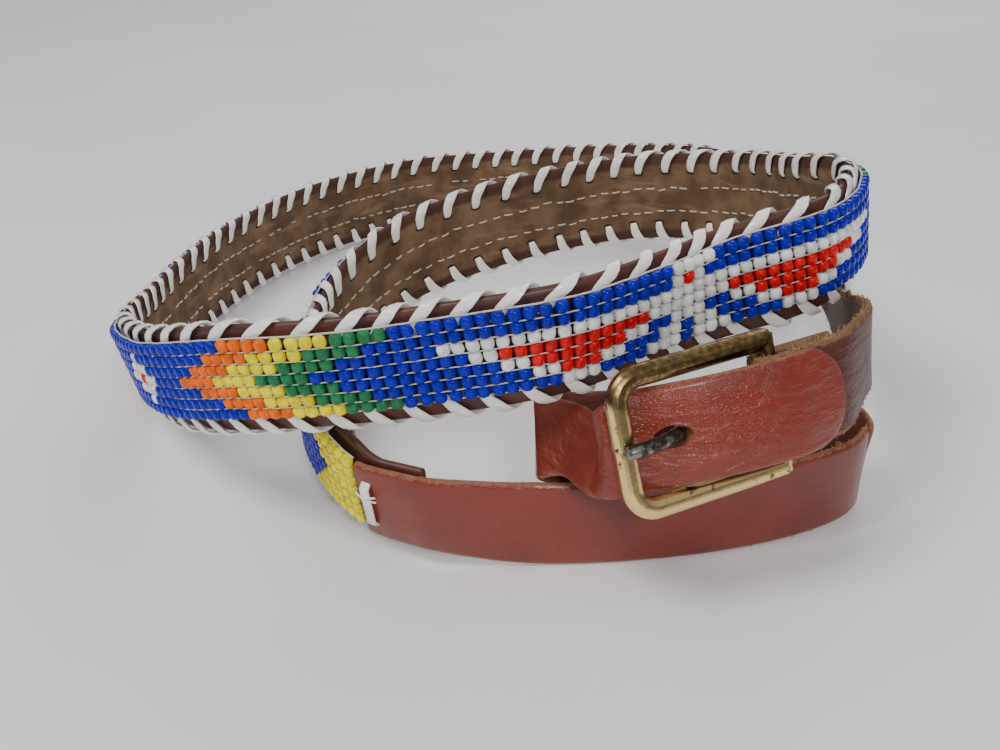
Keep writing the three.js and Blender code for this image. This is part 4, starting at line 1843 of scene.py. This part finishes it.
@dataclass
class BuckleStrap:
    """The strap that holds the buckle, looped on the hinge and laid on the band's back end.

    Args:
        coil: Where the band runs.
        buckle: What it is looped on.
    """

    coil: Coil
    buckle: Buckle

    STATIONS: tuple[Station, ...] = (
        Station(0.425, -0.390, on_strap=1.55, back=15),
        Station(0.450, -0.343, on_strap=1.42, back=8, out=-10),
        Station(0.464, -0.286, on_strap=1.22, out=-14),
        Station(0.472, -0.200, on_strap=1.09, out=-8),
        Station(0.497, -0.048, on_strap=0.94),
        Station(0.508, 0.119, on_strap=0.79),
        Station(0.497, 0.240, on_strap=0.72),
    )
    FRAME_STEP = 0.9
    SLOT_REACH = 1.1
    SLOT_CLEARANCE = 0.45
    CUT_DEPTHS = (-6.0, 6.0)

    def build(self) -> list[tuple[bpy.types.Object, str, str]]:
        """Builds the strap with its slot for the prong.

        Returns:
            The piece with its slot and its finish's name.
        """
        s = SIZES
        b = self.buckle
        route = self.route
        frames = route.spread(0.0, route.length, self.FRAME_STEP)
        strap = wall_piece(
            "buckle_tab", frames, s.strap_wall, lambda frame: 0.0, lambda frame: s.strap_width,
        )
        long, high = self.turn * self.SLOT_REACH, b.prong / 2 + self.SLOT_CLEARANCE
        corners = ((-1, -1), (1, -1), (1, 1), (-1, 1))
        b.pierce(strap, [(self.turn + u * long, v * high) for u, v in corners], self.CUT_DEPTHS)
        return [(strap, "strap_leather", "tab")]

    @property
    def turn(self) -> float:
        """Radius of the strap's middle round the hinge."""
        return self.buckle.hinge / 2 + SIZES.gap + SIZES.strap_wall / 2

    @cached_property
    def route(self) -> Route:
        """Lays the strap from its inner end round the hinge to where it lies on the band.

        Returns:
            The route.
        """
        s = SIZES
        b = self.buckle
        turn = self.turn
        anchors = [b.station(-s.strap_width * share, -turn - s.gap) for share in (0.85, 0.4)]
        for degrees in (-90, -135, 180, 135, 90):
            angle = math.radians(degrees)
            anchors.append(b.station(-math.cos(angle) * turn, math.sin(angle) * turn))
        anchors += [b.station(-s.strap_width * 0.4, turn * 0.55), b.station(-s.strap_width * 0.75, s.gap)]
        anchors += [self.coil.strap_anchor(one) for one in self.STATIONS]
        for distance in (0.0, s.joint_length / 3):
            frame = self.coil.laid(distance)
            anchors.append(Anchor(frame.place, up=frame.up))
        free = Route(anchors, last=1).frames[:-1]
        laid = [self.coil.laid(float(k)) for k in range(int(s.joint_length) + 1)]
        return JoinedRoute([*free, *laid])


@dataclass
class EdgeFibres:
    """Loose tan fibres along a strap's raw edges.

    Args:
        name: What the piece is called.
        route: The strap's route.
        stretches: Start and end of each frayed stretch and its fibres per millimetre.
        seed: Start of the random series.
        radius: Half a fibre's thickness at its root.
        spread: How much the fibres differ in length.
        shortest: Length of the shortest fibre.
    """

    name: str
    route: Route
    stretches: tuple[tuple[float, float, float], ...]
    seed: int
    radius: float = 0.10
    spread: float = 0.45
    shortest: float = 0.35

    ROOT_SUNK = 0.3
    OFF_MIDDLE = 0.9
    CLEAR_OF_TABLE = 0.05

    def build(self) -> list[tuple[bpy.types.Object, str, str]]:
        """Builds the fibres.

        Returns:
            The piece with its slot and its finish's name.
        """
        s = SIZES
        chance = random.Random(self.seed)
        mesher = Mesher()
        for start, end, density in self.stretches:
            for _ in range(int((end - start) * density)):
                frame = self.route.frame(chance.uniform(start, end))
                upper = chance.random() < 0.5
                away = 1.0 if upper else -1.0
                root = s.strap_width * upper - away * self.ROOT_SUNK
                off = chance.uniform(-self.OFF_MIDDLE, self.OFF_MIDDLE)
                long = abs(chance.gauss(0.0, self.spread)) + self.shortest
                bend = chance.gauss(0.0, 0.5)
                path = [
                    frame.at(off + bend * share * share * 0.5, root + away * long * share,
                             chance.gauss(0.0, 0.05) + bend * share)
                    for share in (0.0, 0.4, 0.75, 1.0)
                ]
                if min(point.z for point in path) > self.CLEAR_OF_TABLE:
                    tube(mesher, path, lambda share: self.radius * (1.15 - share), 4)
        return [(mesher.piece(self.name, 80.0), "strap_leather", "fibre")]


@dataclass
class Tie:
    """A loop of flat lace that holds a strap on the band.

    Args:
        coil: Where the band runs.
        name: What the piece is called.
        place: Distance of the loop along the band.
        span: From one slot to the other.
        width: The lace's width.
        corner: How far its corners are cut off.
        thread: Half the thickness of the cotton ends.
    """

    coil: Coil
    name: str
    place: float
    span: float = 11.5
    width: float = 2.2
    corner: float = 0.9
    thread: float = 0.22

    SECTION = ((-1, -0.5), (-0.8, -1), (0.8, -1), (1, -0.5), (1, 0.5), (0.8, 1), (-0.8, 1), (-1, 0.5))
    ENDS = ((0.26, 0.5), (0.22, -0.4))
    HALF_END = 2.6

    def build(self) -> list[tuple[bpy.types.Object, str, str]]:
        """Builds the loop and its two cotton ends.

        Returns:
            The piece with its slot and its finish's name.
        """
        s = SIZES
        mesher = Mesher()
        middle = s.band_width / 2
        half = self.span / 2
        back = -(s.band_wall / 2 + s.gap * 1.5 + s.lace_wall / 2)
        front = s.band_wall / 2 + 1.5 * s.gap + s.strap_wall + s.gap * 1.3 + s.lace_wall / 2
        corners = ((back, -half), (front, -half), (front, half), (back, half))
        path = []
        for i, (out, up) in enumerate(corners):
            for near in (corners[i - 1], corners[(i + 1) % 4]):
                share = self.corner / math.dist(near, (out, up))
                path.append((out + (near[0] - out) * share, up + (near[1] - up) * share))
        frame = self.coil.band.frame(self.place)
        points = [frame.at(out, middle + up) for out, up in path]
        centre = frame.at((back + front) / 2, middle)
        rings = []
        for i, point in enumerate(points):
            travel = (points[(i + 1) % len(points)] - points[i - 1]).normalized()
            flat = (point - centre) - travel * (point - centre).dot(travel)
            flat = (flat - frame.travel * flat.dot(frame.travel)).normalized()
            rings.append([
                point + frame.travel * (a * self.width / 2) + flat * (b * s.lace_wall / 2)
                for a, b in self.SECTION
            ])
        mesher.rings(rings, closed=True)
        for rise, turn in self.ENDS:
            ends = []
            for share in (-1.0, -0.5, 0.0, 0.5, 1.0):
                height = middle + self.span * rise + turn * share
                ends.append(frame.at(front + 0.75 - abs(share) * 0.8, height, self.HALF_END * share))
            tube(mesher, ends, lambda share: self.thread, 6)
        return [(mesher.piece(self.name, 50.0), "lace", "lace")]


@dataclass(frozen=True)
class Lamp:
    """A square lamp that faces the belt.

    Args:
        name: What the lamp is called.
        place: Where it hangs, in metres.
        size: Its side, in metres.
        power: Its power, in watts.
        colour: The light's colour.
    """

    name: str
    place: tuple[float, float, float]
    size: float
    power: float
    colour: tuple[float, float, float]

    def build(self) -> bpy.types.Object:
        """Hangs the lamp.

        Returns:
            The lamp's object.
        """
        bpy.ops.object.light_add(type="AREA", location=self.place)
        light = bpy.context.active_object
        light.name = self.name
        light.data.size = self.size
        light.data.energy = self.power
        light.data.color = self.colour
        light.rotation_euler = (-Vector(self.place)).to_track_quat("-Z", "Y").to_euler()
        return light


@dataclass
class Stage:
    """The table, the light and the camera.

    Args:
        coil: Its shift places the camera.
    """

    coil: Coil

    FOCAL = 39.6
    SENSOR = 36.0
    PITCH = 28.0
    PLACE = (0.0, -285.0, 145.0)
    TABLE_SIZE = 6.0
    TABLE_TONES = ((0.88, 0.88, 0.90), (0.92, 0.92, 0.93))
    ROOM_STRENGTH = 0.46
    LAMPS = (
        Lamp("key", (-0.45, -0.30, 0.85), 0.35, 4.6, (1.0, 0.97, 0.93)),
        Lamp("front", (0.12, -0.62, 0.42), 0.12, 1.7, (1.0, 0.98, 0.96)),
        Lamp("back", (0.25, 0.85, 0.65), 0.7, 3.4, (1.0, 0.98, 0.95)),
    )

    def build(self) -> None:
        """Builds the floor, lights and camera."""
        floor = Graph("table_top")
        soft = floor.noise(9.0, 3.0).band(0.3, 0.7)
        material = floor.dress(floor.mix(soft, *self.TABLE_TONES), 0.60)
        bpy.ops.mesh.primitive_plane_add(size=self.TABLE_SIZE, location=(0.0, 0.0, 0.0))
        plane = bpy.context.active_object
        plane.name = "table"
        plane.data.materials.append(material)
        things = [plane, *(lamp.build() for lamp in self.LAMPS)]
        self._light_room()
        bpy.ops.object.camera_add(location=(Vector(self.PLACE) + self.coil.shift) * MM)
        camera = bpy.context.active_object
        camera.rotation_euler = (math.radians(90.0 - self.PITCH), 0.0, 0.0)
        camera.data.lens = self.FOCAL
        camera.data.sensor_width = self.SENSOR
        camera.data.clip_start = 0.01
        bpy.context.scene.camera = camera

    def _light_room(self) -> None:
        """Surrounds the scene with a soft light that is darker towards the horizon."""
        world = bpy.data.worlds.new("room")
        bpy.context.scene.world = world
        world.use_nodes = True
        nodes, links = world.node_tree.nodes, world.node_tree.links
        direction = nodes.new("ShaderNodeTexCoord")
        parts = nodes.new("ShaderNodeSeparateXYZ")
        ramp = nodes.new("ShaderNodeValToRGB")
        ramp.color_ramp.elements[0].position = 0.05
        ramp.color_ramp.elements[0].color = (0.22, 0.23, 0.25, 1.0)
        ramp.color_ramp.elements[1].position = 0.65
        ramp.color_ramp.elements[1].color = (1.0, 1.0, 1.0, 1.0)
        links.new(direction.outputs["Generated"], parts.inputs[0])
        links.new(parts.outputs[2], ramp.inputs[0])
        links.new(ramp.outputs[0], nodes["Background"].inputs["Color"])
        nodes["Background"].inputs["Strength"].default_value = self.ROOM_STRENGTH


def finishes() -> dict[str, bpy.types.Material]:
    """Makes all the materials.

    Returns:
        Every material by its finish's name.
    """
    width = SIZES.strap_width
    looks = {
        "suede": SuedeFinish(),
        "tongue": LeatherFinish(
            "tongue_leather", (0.225, 0.022, 0.008), (0.150, 0.014, 0.006), width,
            roughness=0.30, coat=0.35, fray=0.25, cracked_from=185.0,
        ),
        "tab": LeatherFinish(
            "tab_leather", (0.090, 0.016, 0.010), (0.040, 0.010, 0.008), width,
            roughness=0.45, coat=0.20, fray=1.1, inside=(0.085, 0.058, 0.042),
        ),
        "fibre": PlainFinish(
            "leather_fibre", (0.42, 0.25, 0.12), (0.20, 0.10, 0.05), roughness=0.85, marks=700.0,
        ),
        "brass": MetalFinish(
            "brass_metal", (0.82, 0.60, 0.26), (0.095, 0.052, 0.022),
            start=0.62, roughness=0.14, dark_above=0.047,
        ),
        "steel": MetalFinish(
            "prong_steel", (0.26, 0.24, 0.23), (0.07, 0.06, 0.055), start=0.45, roughness=0.28,
        ),
        "lace": PlainFinish(
            "plastic_lace", (0.93, 0.92, 0.88), (0.70, 0.66, 0.58), roughness=0.28, coat=0.4, marks=180.0,
        ),
        "cotton": PlainFinish(
            "stitch_cotton", (0.62, 0.54, 0.42), (0.40, 0.32, 0.22), roughness=0.85, marks=500.0,
        ),
        "warp": PlainFinish(
            "warp_cotton", (0.60, 0.60, 0.56), (0.36, 0.36, 0.34), roughness=0.8, marks=500.0,
        ),
    }
    glass = {colour.name.lower(): GlassFinish(colour) for colour in Bead}
    return {name: finish.material() for name, finish in (glass | looks).items()}


def main() -> None:
    """Builds the pieces in order, dresses them and stages the scene."""
    logging.basicConfig(level=logging.INFO, format="%(name)s: %(message)s")
    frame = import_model()
    LOG.info("loaded %d nodes", len(frame["nodes"]))
    coil = Coil()
    length = coil.band.length
    LOG.info("band length %.1f mm", length)
    looks = finishes()
    buckle = Buckle(coil)
    tongue = TongueStrap(coil, buckle)
    tab = BuckleStrap(coil, buckle)
    frayed = ((30.0, 80.0, 0.8), (80.0, 115.0, 6.0), (115.0, 175.0, 2.5))
    tie_at = SIZES.joint_length - TIE_SETBACK
    builders = (
        LeatherBand(coil),
        BeadWeave(coil),
        WhipLace(coil, upper=True),
        WhipLace(coil, upper=False, start=WhipLace.LOWER_START),
        tongue,
        tab,
        EdgeFibres("tongue_fibres", tongue.route, frayed, 31),
        EdgeFibres("tab_fibres", tab.route, ((20.0, 150.0, 5.0),), 32),
        Tie(coil, "tongue_tie_lace", length - tie_at),
        Tie(coil, "buckle_tie_lace", tie_at),
        buckle,
    )
    for builder in builders:
        for piece, slot, look in builder.build():
            settle(piece, slot, looks[look], *STANDS_FOR.get(piece.name, ()))
    Stage(coil).build()


if __name__ == "__main__":
    main()
